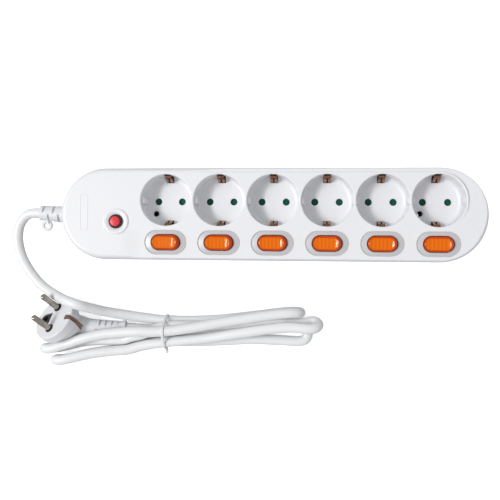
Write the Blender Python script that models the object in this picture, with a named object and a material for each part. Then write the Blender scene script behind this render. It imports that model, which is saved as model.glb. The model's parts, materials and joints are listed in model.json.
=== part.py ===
"""Power strip: six switched, earthed sockets in one housing, with a tied-up lead and an angled plug.

Frame: origin at the centre of the housing's footprint, on its underside. +Z points out of the
sockets, +X runs along the strip away from the lead, and +Y points to the socket side.
Every length is in metres: a value written with MM is that many millimetres.
"""

import math

import bmesh
import bpy
import numpy as np
from mathutils import Matrix, Vector

MM = 0.001
GAP = 0.3 * MM

# Housing: a slot-shaped box, split into a cover and a base
HOUSING_LENGTH = 327.0 * MM
HOUSING_WIDTH = 71.4 * MM
TOP_Z = 40.0 * MM
PARTING_Z = 14.0 * MM
WALL = 2.0 * MM
COVER_PLATE = 3.2 * MM
BASE_PLATE = 2.2 * MM
SHOULDER_WIDTH = 4.5 * MM
SHOULDER_HEIGHT = 7.0 * MM
END_STEPS = 14

SCREW_BOSS_RADIUS = 3.4 * MM
BASE_BOSS_RADIUS = 4.6 * MM
CABLE_HOLE_RADIUS = 7.1 * MM
DECK_START_X = -101.0 * MM
PANEL_RADIUS = 21.5 * MM
PANEL_START_X = -20.0 * MM
LEDGE_DROP = 2.4 * MM

# Sockets: one row of round wells for a 19 mm pin spacing
SOCKET_COUNT = 6
PITCH = 41.2 * MM
FIRST_SOCKET_X = -79.5 * MM
SOCKET_Y = 10.4 * MM
WELL_RADIUS = 19.8 * MM
WELL_WALL = 1.8 * MM
WELL_DEPTH = 18.0 * MM
WELL_FLOOR = 2.0 * MM
PIN_OFFSET = 9.5 * MM
PIN_HOLE_RADIUS = 2.75 * MM
FIXING_HOLE_RADIUS = 2.15 * MM
EARTH_WIDTH = 6.6 * MM
EARTH_GROOVE = (14.8 * MM, 20.6 * MM)
RIB_REACH = (17.6 * MM, 20.4 * MM)
RIB_TOP = 37.5 * MM

# Switches: on a deck that falls away towards the front
DECK_BACK_Y = -11.0 * MM
DECK_FALL = math.radians(4.0)
SWITCH_Y = -22.15 * MM
BEZEL_LENGTH = 32.0 * MM
BEZEL_WIDTH = 18.3 * MM
BEZEL_TOP = -0.15 * MM
BEZEL_THICKNESS = 0.75 * MM
SWITCH_OPENING = (23.0 * MM, 12.4 * MM)
SWITCH_BODY = (26.4 * MM, 15.4 * MM)
SWITCH_DEPTH = 15.0 * MM
ROCKER_LENGTH = 22.2 * MM
ROCKER_WIDTH = 11.6 * MM
ROCKER_PIVOT = -1.5 * MM
ROCKER_REST_TILT = math.radians(-8.0)
BLADE_PIVOT = -10.8 * MM
BLADE_REST_TILT = math.radians(6.4)

# Overload breaker, in the flat head of the housing
BREAKER_X = -118.5 * MM
BREAKER_Y = -6.3 * MM
BREAKER_RING_RADIUS = 10.15 * MM
COLLAR_RADIUS = 5.3 * MM
BUTTON_RADIUS = 4.0 * MM

# Heights of the layers inside
SHUTTER_Z = (17.5 * MM, 19.7 * MM)
CARRIER_Z = (15.0 * MM, 17.2 * MM)
EARTH_Z = (13.4 * MM, 14.2 * MM)
FEED_Z = (9.0 * MM, 9.8 * MM)
STRIP_METAL = 0.8 * MM
SHUTTER_LENGTH = 26.0 * MM
SHUTTER_WIDTH = 7.0 * MM
PIVOT_RADIUS = 2.0 * MM

# Lead and plug
CABLE_RADIUS = 4.1 * MM
BOOT_BORE = 4.4 * MM
BOOT_YAW = math.radians(176.0)
WIRE_RADIUS = 1.4 * MM
PLUG_FACE = Vector((-173.8, -83.3, 22.9)) * MM
PLUG_PIN_DIRECTION = Vector((-0.429, 0.546, 0.719))
PLUG_PIN_LINE = Vector((-0.159, -0.83, 0.535))
SLEEVE_END = (-118.6, -91.8, 6.6)
PIN_RADIUS = 2.4 * MM
PIN_LENGTH = 19.0 * MM

SCREW_PLACES = (
    (-100.1 * MM, 27.5 * MM),
    (105.9 * MM, 27.5 * MM),
    (-147.0 * MM, -17.0 * MM),
    (147.0 * MM, -17.0 * MM),
)
SOCKET_X = [FIRST_SOCKET_X + PITCH * index for index in range(SOCKET_COUNT)]


# ---------------------------------------------------------------- outlines


def arc(centre, radius, start, stop, steps):
    """Points on an arc, both ends included. Angles are in degrees."""
    angles = np.radians(np.linspace(start, stop, steps + 1))
    return [(centre[0] + radius * math.cos(a), centre[1] + radius * math.sin(a)) for a in angles]


def circle(radius, steps, centre=(0.0, 0.0)):
    return arc(centre, radius, 0, 360, steps)[:-1]


def slot(length, width, steps, centre=(0.0, 0.0)):
    """A slot outline: straight sides along X and full round ends."""
    reach = (length - width) / 2
    right = (centre[0] + reach, centre[1])
    left = (centre[0] - reach, centre[1])
    return arc(right, width / 2, -90, 90, steps) + arc(left, width / 2, 90, 270, steps)


def rectangle(low, high):
    return [(low[0], low[1]), (high[0], low[1]), (high[0], high[1]), (low[0], high[1])]


def housing_outline(inset):
    return slot(HOUSING_LENGTH - 2 * inset, HOUSING_WIDTH - 2 * inset, END_STEPS)


def well_row_outline(radius, steps):
    """The outer outline of the row of wells, which run into one another."""
    meet = math.degrees(math.acos(PITCH / 2 / radius))
    front = [(x, 180 + meet, 360 - meet) for x in SOCKET_X[1:-1]]
    back = [(x, meet, 180 - meet) for x in reversed(SOCKET_X[1:-1])]
    first = (SOCKET_X[0], meet, 360 - meet)
    last = (SOCKET_X[-1], 180 + meet, 540 - meet)
    points = []
    for x, start, stop in [first, *front, last, *back]:
        count = max(3, round(steps * (stop - start) / 360))
        points += arc((x, SOCKET_Y), radius, start, stop, count)[:-1]
    return points


# ---------------------------------------------------------------- solids


def add_loft(bm, rings):
    """A closed solid through rings with equal point counts, capped at its two ends."""
    loops = [[bm.verts.new(point) for point in ring] for ring in rings]
    faces = []
    for near, far in zip(loops, loops[1:]):
        for index, corner in enumerate(near):
            after = (index + 1) % len(near)
            faces.append(bm.faces.new((corner, near[after], far[after], far[index])))
    faces.append(bm.faces.new(tuple(reversed(loops[0]))))
    faces.append(bm.faces.new(loops[-1]))
    bmesh.ops.recalc_face_normals(bm, faces=faces)


def add_ring(bm, loops_points):
    """A ring-shaped solid through closed loops that follow one another round its section."""
    loops = [[bm.verts.new(point) for point in loop] for loop in loops_points]
    faces = []
    for near, far in zip(loops, loops[1:] + loops[:1]):
        for index, corner in enumerate(near):
            after = (index + 1) % len(near)
            faces.append(bm.faces.new((corner, near[after], far[after], far[index])))
    bmesh.ops.recalc_face_normals(bm, faces=faces)


def level(outline, z):
    return [(x, y, z) for x, y in outline]


def add_prism(bm, outline, low, high):
    add_loft(bm, [level(outline, low), level(outline, high)])


def add_cross_prism(bm, outline, low, high):
    """An outline in the YZ plane, extruded along X from low to high."""
    add_loft(bm, [[(x, y, z) for y, z in outline] for x in (low, high)])


def add_side_prism(bm, outline, low, high):
    """An outline in the XZ plane, extruded along Y from low to high."""
    add_loft(bm, [[(x, y, z) for x, z in outline] for y in (low, high)])


def add_box(bm, low, high):
    add_prism(bm, rectangle(low[:2], high[:2]), low[2], high[2])


def add_post(bm, radius, steps, centre, low, high):
    add_prism(bm, circle(radius, steps, centre), low, high)


def add_tube(bm, path, radius, sides):
    """A round bar along a path of points. The radius is one value, or one for each point."""
    radii = [radius] * len(path) if isinstance(radius, float) else radius
    tangents = [(b - a).normalized() for a, b in zip(path, path[1:])]
    tangents.append(tangents[-1])
    side = tangents[0].orthogonal().normalized()
    rings = []
    for index, (point, size) in enumerate(zip(path, radii)):
        tangent = (tangents[max(index - 1, 0)] + tangents[index]).normalized()
        side = (side - tangent * side.dot(tangent)).normalized()
        other = tangent.cross(side)
        rings.append([point + side * x + other * y for x, y in circle(size, sides)])
    add_loft(bm, rings)


def add_turned(bm, profile, steps, axis="Z"):
    """A solid turned about an axis through the origin, from (distance along it, radius) pairs."""
    rings = [[(x, y, along) for x, y in circle(radius, steps)] for along, radius in profile]
    if axis == "X":
        rings = [[(z, x, y) for x, y, z in ring] for ring in rings]
    add_loft(bm, rings)


def ribbon(points, thickness):
    """The outline of a bent strip of even thickness around a line of 2-D points."""
    points = [Vector(point) for point in points]
    steps = [(b - a).normalized() for a, b in zip(points, points[1:])]
    left, right = [], []
    for index, point in enumerate(points):
        before = steps[max(index - 1, 0)]
        after = steps[min(index, len(steps) - 1)]
        middle = (before + after).normalized()
        normal = Vector((-middle.y, middle.x)) * (thickness / 2 / middle.dot(after))
        left.append(tuple(point + normal))
        right.append(tuple(point - normal))
    return right + left[::-1]


def smooth_path(knots, steps):
    """A centripetal Catmull-Rom curve through the knots, with even steps between each two of them."""
    knots = [Vector(knot) for knot in knots]
    knots = [knots[0] * 2 - knots[1], *knots, knots[-1] * 2 - knots[-2]]
    path = []
    for before, start, end, after in zip(knots, knots[1:], knots[2:], knots[3:]):
        spans = [math.sqrt((b - a).length) for a, b in ((before, start), (start, end), (end, after))]
        rise = (start - before) / spans[0] - (end - before) / (spans[0] + spans[1])
        fall = (after - end) / spans[2] - (after - start) / (spans[1] + spans[2])
        leave = rise * spans[1] + (end - start)
        arrive = fall * spans[1] + (end - start)
        for t in (step / steps for step in range(steps)):
            turn_in = t * (1 - t) ** 2
            turn_out = t * t * (t - 1)
            path.append(start + (end - start) * t * t * (3 - 2 * t) + leave * turn_in + arrive * turn_out)
    path.append(knots[-2])
    return path


# ---------------------------------------------------------------- objects


def clear_scene():
    for obj in list(bpy.data.objects):
        bpy.data.objects.remove(obj, do_unlink=True)


def make_material(name, color, roughness, metallic=0.0, alpha=1.0):
    material = bpy.data.materials.new(name)
    material.use_nodes = True
    shader = material.node_tree.nodes["Principled BSDF"]
    shader.inputs["Base Color"].default_value = (*color, 1.0)
    shader.inputs["Roughness"].default_value = roughness
    shader.inputs["Metallic"].default_value = metallic
    shader.inputs["Alpha"].default_value = alpha
    material.diffuse_color = (*color, alpha)
    return material


def mesh_from(name, bm, material):
    mesh = bpy.data.meshes.new(name)
    bm.to_mesh(mesh)
    bm.free()
    mesh.materials.append(material)
    mesh.shade_smooth()
    mesh.set_sharp_from_angle(angle=math.radians(35))
    return mesh


def place(name, mesh, location=(0.0, 0.0, 0.0), rotation=(0.0, 0.0, 0.0), parent=None):
    obj = bpy.data.objects.new(name, mesh)
    bpy.context.collection.objects.link(obj)
    obj.location = location
    obj.rotation_euler = rotation
    obj.parent = parent
    return obj


def make_object(name, bm, material, **placing):
    return place(name, mesh_from(name, bm, material), **placing)


def make_empty(name, location, rotation=(0.0, 0.0, 0.0), parent=None):
    return place(name, None, location, rotation, parent)


def add_boolean(obj, operation, mesh):
    """Adds a Boolean to the object, with a hidden helper of this mesh that moves with it."""
    helper = place(f"{obj.name}_{operation.lower()}", mesh, parent=obj)
    helper.hide_render = True
    helper.display_type = "WIRE"
    modifier = obj.modifiers.new(operation.title(), "BOOLEAN")
    modifier.operation = operation
    modifier.object = helper


def boolean(obj, operation, bm):
    add_boolean(obj, operation, mesh_from(f"{obj.name}_{operation.lower()}", bm, obj.data.materials[0]))


def share_booleans(copy, original):
    """Gives a copy of a repeated piece the same Booleans, each with its own helper."""
    for modifier in original.modifiers:
        add_boolean(copy, modifier.operation, modifier.object.data)


# ---------------------------------------------------------------- housing


def deck_height(y):
    """Height of the sloping switch deck at a place in front of the socket row."""
    return TOP_Z - (DECK_BACK_Y - y) * math.tan(DECK_FALL)


def shoulder_profile(steps=3):
    """(inset, height) pairs from the wall up round the shoulder to the top."""
    pairs = []
    for angle in np.linspace(0, math.pi / 2, steps + 1):
        inset = SHOULDER_WIDTH * (1 - math.cos(angle))
        height = TOP_Z - SHOULDER_HEIGHT + SHOULDER_HEIGHT * math.sin(angle)
        pairs.append((inset, height))
    return pairs


def add_deck_cut(bm):
    """Takes the wedge off the front of the flat top, leaving the sloping deck."""
    end_x = HOUSING_LENGTH / 2 + 1 * MM
    front_y = -HOUSING_WIDTH / 2 - 1 * MM
    wedge = [
        (DECK_BACK_Y, TOP_Z),
        (DECK_BACK_Y, TOP_Z + 3 * MM),
        (front_y, TOP_Z + 3 * MM),
        (front_y, deck_height(front_y)),
    ]
    add_cross_prism(bm, wedge, DECK_START_X, end_x)


def add_ledge_cut(bm):
    """Lowers the back edge and the right-hand end, so that the socket panel stands above them."""
    edge = arc((SOCKET_X[-1], SOCKET_Y), PANEL_RADIUS, 90, -60, 10)
    outside_x, outside_y = HOUSING_LENGTH / 2 + 1 * MM, HOUSING_WIDTH / 2 + 1 * MM
    outline = [(PANEL_START_X, SOCKET_Y + PANEL_RADIUS), *edge]
    outline += [(outside_x, -outside_y), (outside_x, outside_y), (PANEL_START_X, outside_y)]
    add_prism(bm, outline[::-1], TOP_Z - LEDGE_DROP, TOP_Z + 3 * MM)


def add_wells(bm):
    for x in SOCKET_X:
        add_post(bm, WELL_RADIUS, 28, (x, SOCKET_Y), TOP_Z - WELL_DEPTH, TOP_Z + 3 * MM)


def add_well_openings(bm):
    """Through the wells: the pin holes, the slots for the earth clips and the fixing holes."""
    floor_top = TOP_Z - WELL_DEPTH
    under, above = floor_top - WELL_FLOOR - 1 * MM, floor_top + 0.5 * MM
    near, far = EARTH_GROOVE
    half_width = EARTH_WIDTH / 2 + 0.4 * MM
    for x in SOCKET_X:
        for side in (-1, 1):
            pin = (x + side * PIN_OFFSET, SOCKET_Y)
            add_post(bm, PIN_HOLE_RADIUS, 10, pin, under, above)
            low_y, high_y = sorted((SOCKET_Y + side * near, SOCKET_Y + side * far))
            low = (x - half_width, low_y, under)
            add_box(bm, low, (x + half_width, high_y, TOP_Z + 2 * MM))
    for place_xy in fixing_holes():
        add_post(bm, FIXING_HOLE_RADIUS, 12, place_xy, under, above)


def add_well_ribs(bm):
    """A guide rib on each side of each well, and the post under its floor that a shutter turns on."""
    floor_under = TOP_Z - WELL_DEPTH - WELL_FLOOR
    half_width = 2.5 * MM
    for x in SOCKET_X:
        for side in (-1, 1):
            near, far = sorted((x + side * RIB_REACH[0], x + side * RIB_REACH[1]))
            low = (near, SOCKET_Y - half_width, floor_under + 0.5 * MM)
            add_box(bm, low, (far, SOCKET_Y + half_width, RIB_TOP))
        add_post(bm, PIVOT_RADIUS, 12, (x, SOCKET_Y), SHUTTER_Z[0], floor_under + 0.5 * MM)


def add_breaker_ring(bm):
    """The raised ring round the breaker's collar."""
    low, high = TOP_Z - 0.5 * MM, TOP_Z + 1.1 * MM
    centre = (BREAKER_X, BREAKER_Y)
    bore = circle(COLLAR_RADIUS + GAP, 20, centre)
    rim = circle(BREAKER_RING_RADIUS, 20, centre)
    crown = circle(BREAKER_RING_RADIUS - 0.8 * MM, 20, centre)
    add_ring(bm, [level(bore, low), level(rim, low), level(crown, high), level(bore, high)])


def add_cable_hole(bm):
    """The round hole for the boot, half of it in the cover and half in the base."""
    outline = [(y, z + PARTING_Z) for y, z in circle(CABLE_HOLE_RADIUS, 20)]
    end_x = -HOUSING_LENGTH / 2
    add_cross_prism(bm, outline, end_x - 1 * MM, end_x + 4 * MM)


def fixing_holes():
    """Where a wall screw passes right through the strip, in the floors of the end sockets."""
    return [(SOCKET_X[0] - 11.5 * MM, SOCKET_Y - 9.6 * MM), (SOCKET_X[-1] - 11.4 * MM, SOCKET_Y - 8.9 * MM)]


def switch_frames():
    """An empty for each switch, on the deck and tilted with it."""
    height = deck_height(SWITCH_Y)
    return [
        make_empty(f"switch_{number}_frame", (x, SWITCH_Y, height), (DECK_FALL, 0, 0))
        for number, x in enumerate(SOCKET_X, 1)
    ]


def add_switch_cuts(bm):
    """A recess for each bezel and a hole for each switch body, square to the sloping deck."""
    recess_depth, above, below = 1.2 * MM, 6 * MM, 8 * MM
    hole = slot(SWITCH_BODY[0] + 2 * GAP, SWITCH_BODY[1] + 2 * GAP, 6)
    recess = slot(BEZEL_LENGTH + 2 * GAP, BEZEL_WIDTH + 2 * GAP, 6)
    rings = [level(hole, -below), level(hole, -recess_depth)]
    rings += [level(recess, -recess_depth), level(recess, above)]
    tilt = Matrix.Rotation(DECK_FALL, 4, "X")
    for x in SOCKET_X:
        to_deck = Matrix.Translation((x, SWITCH_Y, deck_height(SWITCH_Y))) @ tilt
        add_loft(bm, [[to_deck @ Vector(point) for point in ring] for ring in rings])


def build_top_cover(material):
    inner_top = TOP_Z - COVER_PLATE
    inner = [(SHOULDER_WIDTH + WALL, inner_top), (WALL, TOP_Z - SHOULDER_HEIGHT), (WALL, PARTING_Z)]
    outer = [(0.0, PARTING_Z), *shoulder_profile()]
    bm = bmesh.new()
    add_loft(bm, [level(housing_outline(inset), z) for inset, z in inner + outer])
    cover = make_object("top_cover", bm, material)

    bm = bmesh.new()
    floor_under = TOP_Z - WELL_DEPTH - WELL_FLOOR
    add_prism(bm, well_row_outline(WELL_RADIUS + WELL_WALL, 28), floor_under, inner_top + 1 * MM)
    for place_xy in SCREW_PLACES:
        add_post(bm, SCREW_BOSS_RADIUS, 12, place_xy, PARTING_Z, inner_top + 1 * MM)
    boolean(cover, "UNION", bm)

    bm = bmesh.new()
    add_deck_cut(bm)
    boolean(cover, "DIFFERENCE", bm)
    bm = bmesh.new()
    add_ledge_cut(bm)
    boolean(cover, "DIFFERENCE", bm)

    bm = bmesh.new()
    add_wells(bm)
    add_switch_cuts(bm)
    for place_xy in SCREW_PLACES:
        add_post(bm, 1.6 * MM, 10, place_xy, PARTING_Z - 1 * MM, 30 * MM)
    add_post(bm, COLLAR_RADIUS + GAP, 20, (BREAKER_X, BREAKER_Y), 30 * MM, 45 * MM)
    add_cable_hole(bm)
    boolean(cover, "DIFFERENCE", bm)
    bm = bmesh.new()
    add_well_openings(bm)
    boolean(cover, "DIFFERENCE", bm)

    bm = bmesh.new()
    add_breaker_ring(bm)
    add_well_ribs(bm)
    boolean(cover, "UNION", bm)


def build_base_shell(material):
    bevel = 1.5 * MM
    top = PARTING_Z - GAP
    outer = [(bevel, 0.0), (0.0, bevel), (0.0, top)]
    inner = [(WALL, top), (WALL, BASE_PLATE)]
    bm = bmesh.new()
    add_loft(bm, [level(housing_outline(inset), z) for inset, z in outer + inner])
    base = make_object("base_shell", bm, material)
    bm = bmesh.new()
    for place_xy in SCREW_PLACES:
        add_post(bm, BASE_BOSS_RADIUS, 12, place_xy, BASE_PLATE / 2, top)
    boolean(base, "UNION", bm)
    bm = bmesh.new()
    head_seat = 8.3 * MM
    for place_xy in SCREW_PLACES:
        shaft = circle(1.7 * MM, 12, place_xy)
        head = circle(3.2 * MM, 12, place_xy)
        rings = [level(head, -1 * MM), level(head, head_seat)]
        add_loft(bm, [*rings, level(shaft, head_seat), level(shaft, top + 1 * MM)])
    for place_xy in fixing_holes():
        add_post(bm, FIXING_HOLE_RADIUS, 12, place_xy, -1 * MM, BASE_PLATE + 1 * MM)
    add_cable_hole(bm)
    boolean(base, "DIFFERENCE", bm)


def build_cover_screws(material):
    """Self-tapping screws, driven from below into the bosses of the cover."""
    head_z, tip_z = 6.0 * MM, 26.0 * MM
    bm = bmesh.new()
    profile = [(head_z, 2.7 * MM), (head_z + 2.0 * MM, 2.7 * MM), (head_z + 2.0 * MM, 1.3 * MM)]
    profile += [(tip_z - 2 * MM, 1.3 * MM), (tip_z, 0.4 * MM)]
    add_turned(bm, profile, 10)
    mesh = mesh_from("cover_screw", bm, material)
    for number, (x, y) in enumerate(SCREW_PLACES, 1):
        place(f"cover_screw_{number}", mesh, (x, y, 0))


# ---------------------------------------------------------------- sockets


def build_shutters(material):
    """A bar under each well floor that closes both pin holes, and turns aside about the well's axis."""
    low, high = SHUTTER_Z
    bm = bmesh.new()
    add_prism(bm, slot(SHUTTER_LENGTH, SHUTTER_WIDTH, 8), low, high)
    bar = mesh_from("socket_shutter", bm, material)
    bm = bmesh.new()
    add_post(bm, PIVOT_RADIUS + GAP, 12, (0, 0), low - 1 * MM, high + 1 * MM)
    hub = mesh_from("socket_shutter_hub", bm, material)
    for number, x in enumerate(SOCKET_X, 1):
        shutter = place(f"socket_shutter_{number}", bar, (x, SOCKET_Y, 0))
        add_boolean(shutter, "DIFFERENCE", hub)


def build_carrier(material):
    """The insulating plate that holds the shutters up and the contacts apart."""
    low, high = CARRIER_Z
    left, right = SOCKET_X[0] - 19 * MM, SOCKET_X[-1] + 19 * MM
    bm = bmesh.new()
    add_box(bm, (left, -4.4 * MM, low), (right, 23.2 * MM, high))
    carrier = make_object("contact_carrier", bm, material)
    bm = bmesh.new()
    for x in SOCKET_X[:-1]:
        for y in (-1.5 * MM, 14.5 * MM):
            middle = x + PITCH / 2
            add_box(bm, (middle - 2 * MM, y - 2 * MM, 2.5 * MM), (middle + 2 * MM, y + 2 * MM, low + 1 * MM))
    boolean(carrier, "UNION", bm)
    bm = bmesh.new()
    for x in SOCKET_X:
        for side in (-1, 1):
            add_post(bm, 3.0 * MM, 8, (x + side * PIN_OFFSET, SOCKET_Y), low - 1 * MM, high + 1 * MM)
    for place_xy in fixing_holes():
        add_post(bm, 2.4 * MM, 12, place_xy, low - 1 * MM, high + 1 * MM)
    boolean(carrier, "DIFFERENCE", bm)


def add_pin_clip(bm, x, y, opening):
    """Three leaves of sprung brass around a pin, open to the front (-1) or to the back (1)."""
    low, high = 3.6 * MM, 14.4 * MM
    half, near, far = 3.2 * MM, -opening * 3.2 * MM, opening * 2.6 * MM
    line = [(x - half, y + far), (x - half, y + near), (x + half, y + near), (x + half, y + far)]
    outline = ribbon(line, STRIP_METAL)
    add_prism(bm, outline, low, high)


def build_neutral_busbar(material):
    """One brass bar along the back, with a pin clip for each socket."""
    low, high = FEED_Z
    bar_front, bar_back = 18.6 * MM, 22.4 * MM
    half = 1.8 * MM
    outline = [(SOCKET_X[-1] - 4 * MM, bar_back), (SOCKET_X[0] - 24.5 * MM, bar_back)]
    outline.append((SOCKET_X[0] - 24.5 * MM, bar_front))
    for x in SOCKET_X:
        tongue = x - PIN_OFFSET
        reach = SOCKET_Y + 3.2 * MM
        outline += [(tongue - half, bar_front), (tongue - half, reach), (tongue + half, reach)]
        outline.append((tongue + half, bar_front))
    outline.append((SOCKET_X[-1] - 4 * MM, bar_front))
    bm = bmesh.new()
    add_prism(bm, outline, low, high)
    busbar = make_object("neutral_busbar", bm, material)
    bm = bmesh.new()
    for x in SOCKET_X:
        add_pin_clip(bm, x - PIN_OFFSET, SOCKET_Y, -1)
    boolean(busbar, "UNION", bm)


def build_live_contacts(material):
    """For each socket, a pin clip with a tail that runs forward to its own switch."""
    low, high = FEED_Z
    tab_x = -2.6 * MM
    tab_top = 25.9 * MM
    reach = SOCKET_Y - SWITCH_Y
    tail = [(low, -3.2 * MM), (low, -reach + 0.1 * MM)]
    bm = bmesh.new()
    add_pin_clip(bm, 0, 0, 1)
    contact = make_object("live_contact_1", bm, material, location=(SOCKET_X[0] + PIN_OFFSET, SOCKET_Y, 0))
    bm = bmesh.new()
    half = STRIP_METAL / 2
    side = ribbon([(tail[0][1], low + half), (tail[1][1] - 1.5 * MM, low + half)], STRIP_METAL)
    add_cross_prism(bm, side, tab_x - 1.5 * MM, tab_x + 3.6 * MM)
    boolean(contact, "UNION", bm)
    bm = bmesh.new()
    add_box(bm, (tab_x - half, -reach - 1.5 * MM, low + half), (tab_x + half, -reach + 1.5 * MM, tab_top))
    boolean(contact, "UNION", bm)
    for number, x in enumerate(SOCKET_X[1:], 2):
        copy = place(f"live_contact_{number}", contact.data, (x + PIN_OFFSET, SOCKET_Y, 0))
        share_booleans(copy, contact)


def build_live_feed(material):
    """The live bar along the front: it starts under the breaker and carries the pivot of each switch."""
    low, high = FEED_Z
    half = STRIP_METAL / 2
    bar_back, bar_front = -27.0 * MM, -31.0 * MM
    riser_x = BREAKER_X + 7.5 * MM
    left, right = riser_x - 2 * MM, SOCKET_X[-1] + 4 * MM
    pivot_top = 26.9 * MM
    outline = [(right, bar_back), (right, bar_front), (left, bar_front), (left, BREAKER_Y - 2 * MM)]
    outline += [(riser_x + 2 * MM, BREAKER_Y - 2 * MM), (riser_x + 2 * MM, bar_back)]
    for x in SOCKET_X:
        outline += [(x - 2 * MM, bar_back), (x - 2 * MM, SWITCH_Y + 2 * MM)]
        outline += [(x + 2 * MM, SWITCH_Y + 2 * MM), (x + 2 * MM, bar_back)]
    bm = bmesh.new()
    add_prism(bm, outline[::-1], low, high)
    feed = make_object("live_feed_busbar", bm, material)
    bm = bmesh.new()
    for x in SOCKET_X:
        add_box(bm, (x - half, SWITCH_Y - 1.6 * MM, low + half), (x + half, SWITCH_Y + 1.6 * MM, pivot_top))
    riser_front, riser_top, riser_half = BREAKER_Y - 2.5 * MM, 15.7 * MM, 1.6 * MM
    riser_low = (riser_x - riser_half, riser_front - STRIP_METAL, low + half)
    add_box(bm, riser_low, (riser_x + riser_half, riser_front, riser_top))
    boolean(feed, "UNION", bm)


def build_earth_busbar(material):
    """One bronze bar with a cross strap for each socket, whose ends rise as the side earth clips."""
    low, high = EARTH_Z
    middle = (low + high) / 2
    profile = [(19.55, 37.0), (16.3, 30.0), (15.7, 24.0), (16.9, 19.0), (17.0, middle / MM)]
    right_side = [(SOCKET_Y + r * MM, z * MM) for r, z in profile]
    left_side = [(SOCKET_Y - r * MM, z * MM) for r, z in reversed(profile)]
    bm = bmesh.new()
    strap = ribbon(right_side + left_side, STRIP_METAL)
    for x in SOCKET_X:
        add_cross_prism(bm, strap, x - EARTH_WIDTH / 2, x + EARTH_WIDTH / 2)
    earth = make_object("earth_busbar", bm, material)
    bm = bmesh.new()
    add_box(bm, (SOCKET_X[0] - 24.5 * MM, -11.0 * MM, low), (SOCKET_X[-1] + 3 * MM, -6.4 * MM, high))
    boolean(earth, "UNION", bm)


# ---------------------------------------------------------------- switches


def build_switch_bezels(frames, material):
    """The grey surround of each switch and the cup below it that holds the contacts."""
    floor_low = -SWITCH_DEPTH
    flange_low = BEZEL_TOP - BEZEL_THICKNESS
    body, opening = slot(*SWITCH_BODY, 6), slot(*SWITCH_OPENING, 6)
    flange = slot(BEZEL_LENGTH, BEZEL_WIDTH, 6)
    rings = [(body, floor_low), (body, flange_low), (flange, flange_low), (flange, BEZEL_TOP)]
    rings += [(opening, BEZEL_TOP), (opening, floor_low + 1.2 * MM)]
    bm = bmesh.new()
    add_loft(bm, [level(outline, z) for outline, z in rings])
    mesh = mesh_from("switch_bezel", bm, material)
    bm = bmesh.new()
    contact_x = PIN_OFFSET - 2.6 * MM
    half_x, half_y = 0.8 * MM, 3.0 * MM
    for x in (0.0, contact_x):
        low = (x - half_x, -half_y, floor_low - 1 * MM)
        add_box(bm, low, (x + half_x, half_y, floor_low + 2 * MM))
    cutter = mesh_from("switch_bezel_slots", bm, material)
    for number, frame in enumerate(frames, 1):
        bezel = place(f"switch_bezel_{number}", mesh, parent=frame)
        add_boolean(bezel, "DIFFERENCE", cutter)


def rocker_side_view():
    """The rocker from the side: round ends about its pivot, and a hollow top."""
    half, top, skirt = ROCKER_LENGTH / 2, 5.0 * MM, -3.0 * MM
    top_angle = math.degrees(math.asin(top / half))
    skirt_angle = math.degrees(math.asin(skirt / half))
    end = arc((0, 0), half, skirt_angle, top_angle, 4)
    top_half = end[-1][0]
    sag = 1.4 * MM
    hollow = [(top_half * t, top - sag * (1 - t * t)) for t in np.linspace(1, -1, 9)[1:-1]]
    return end + hollow + [(-x, z) for x, z in reversed(end)]


def build_rockers(frames, material):
    """A translucent orange rocker in each bezel, with its origin on the pivot axis."""
    bm = bmesh.new()
    add_prism(bm, slot(ROCKER_LENGTH, ROCKER_WIDTH, 6), -7 * MM, 7 * MM)
    plan = mesh_from("rocker", bm, material)
    bm = bmesh.new()
    add_side_prism(bm, rocker_side_view(), -8 * MM, 8 * MM)
    side = mesh_from("rocker_side_view", bm, material)
    bm = bmesh.new()
    wall = 1.3 * MM
    add_prism(bm, slot(ROCKER_LENGTH - 2 * wall, ROCKER_WIDTH - 2 * wall, 4), -8 * MM, 2.4 * MM)
    hollow = mesh_from("rocker_hollow", bm, material)
    bm = bmesh.new()
    add_box(bm, (-1.1 * MM, 3.2 * MM, -8.4 * MM), (1.1 * MM, 5.2 * MM, -1.0 * MM))
    leg = mesh_from("rocker_leg", bm, material)
    for number, frame in enumerate(frames, 1):
        rocker = place(f"rocker_{number}", plan, (0, 0, ROCKER_PIVOT), (0, ROCKER_REST_TILT, 0), frame)
        for operation, mesh in (("INTERSECT", side), ("DIFFERENCE", hollow), ("UNION", leg)):
            add_boolean(rocker, operation, mesh)


def build_neon_lamps(frames, material):
    """A small glass lamp in the hollow of each rocker."""
    radius, half = 1.8 * MM, 4.5 * MM
    bm = bmesh.new()
    profile = [(-half, 0.7 * MM), (-half + 0.8 * MM, radius), (half - 0.8 * MM, radius), (half, 0.7 * MM)]
    add_turned(bm, profile, 8, axis="X")
    mesh = mesh_from("neon_lamp", bm, material)
    for number, frame in enumerate(frames, 1):
        place(f"neon_lamp_{number}", mesh, (0, 0, ROCKER_PIVOT), (0, ROCKER_REST_TILT, 0), frame)


def build_switch_blades(frames, material):
    """The see-saw contact under each rocker."""
    half_length, half_width, half_thick = 7.5 * MM, 4.5 * MM, 0.4 * MM
    bm = bmesh.new()
    add_box(bm, (-half_length, -half_width, -half_thick), (half_length, half_width, half_thick))
    mesh = mesh_from("switch_blade", bm, material)
    for number, frame in enumerate(frames, 1):
        place(f"switch_blade_{number}", mesh, (0, 0, BLADE_PIVOT), (0, BLADE_REST_TILT, 0), frame)


# ---------------------------------------------------------------- breaker


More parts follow.
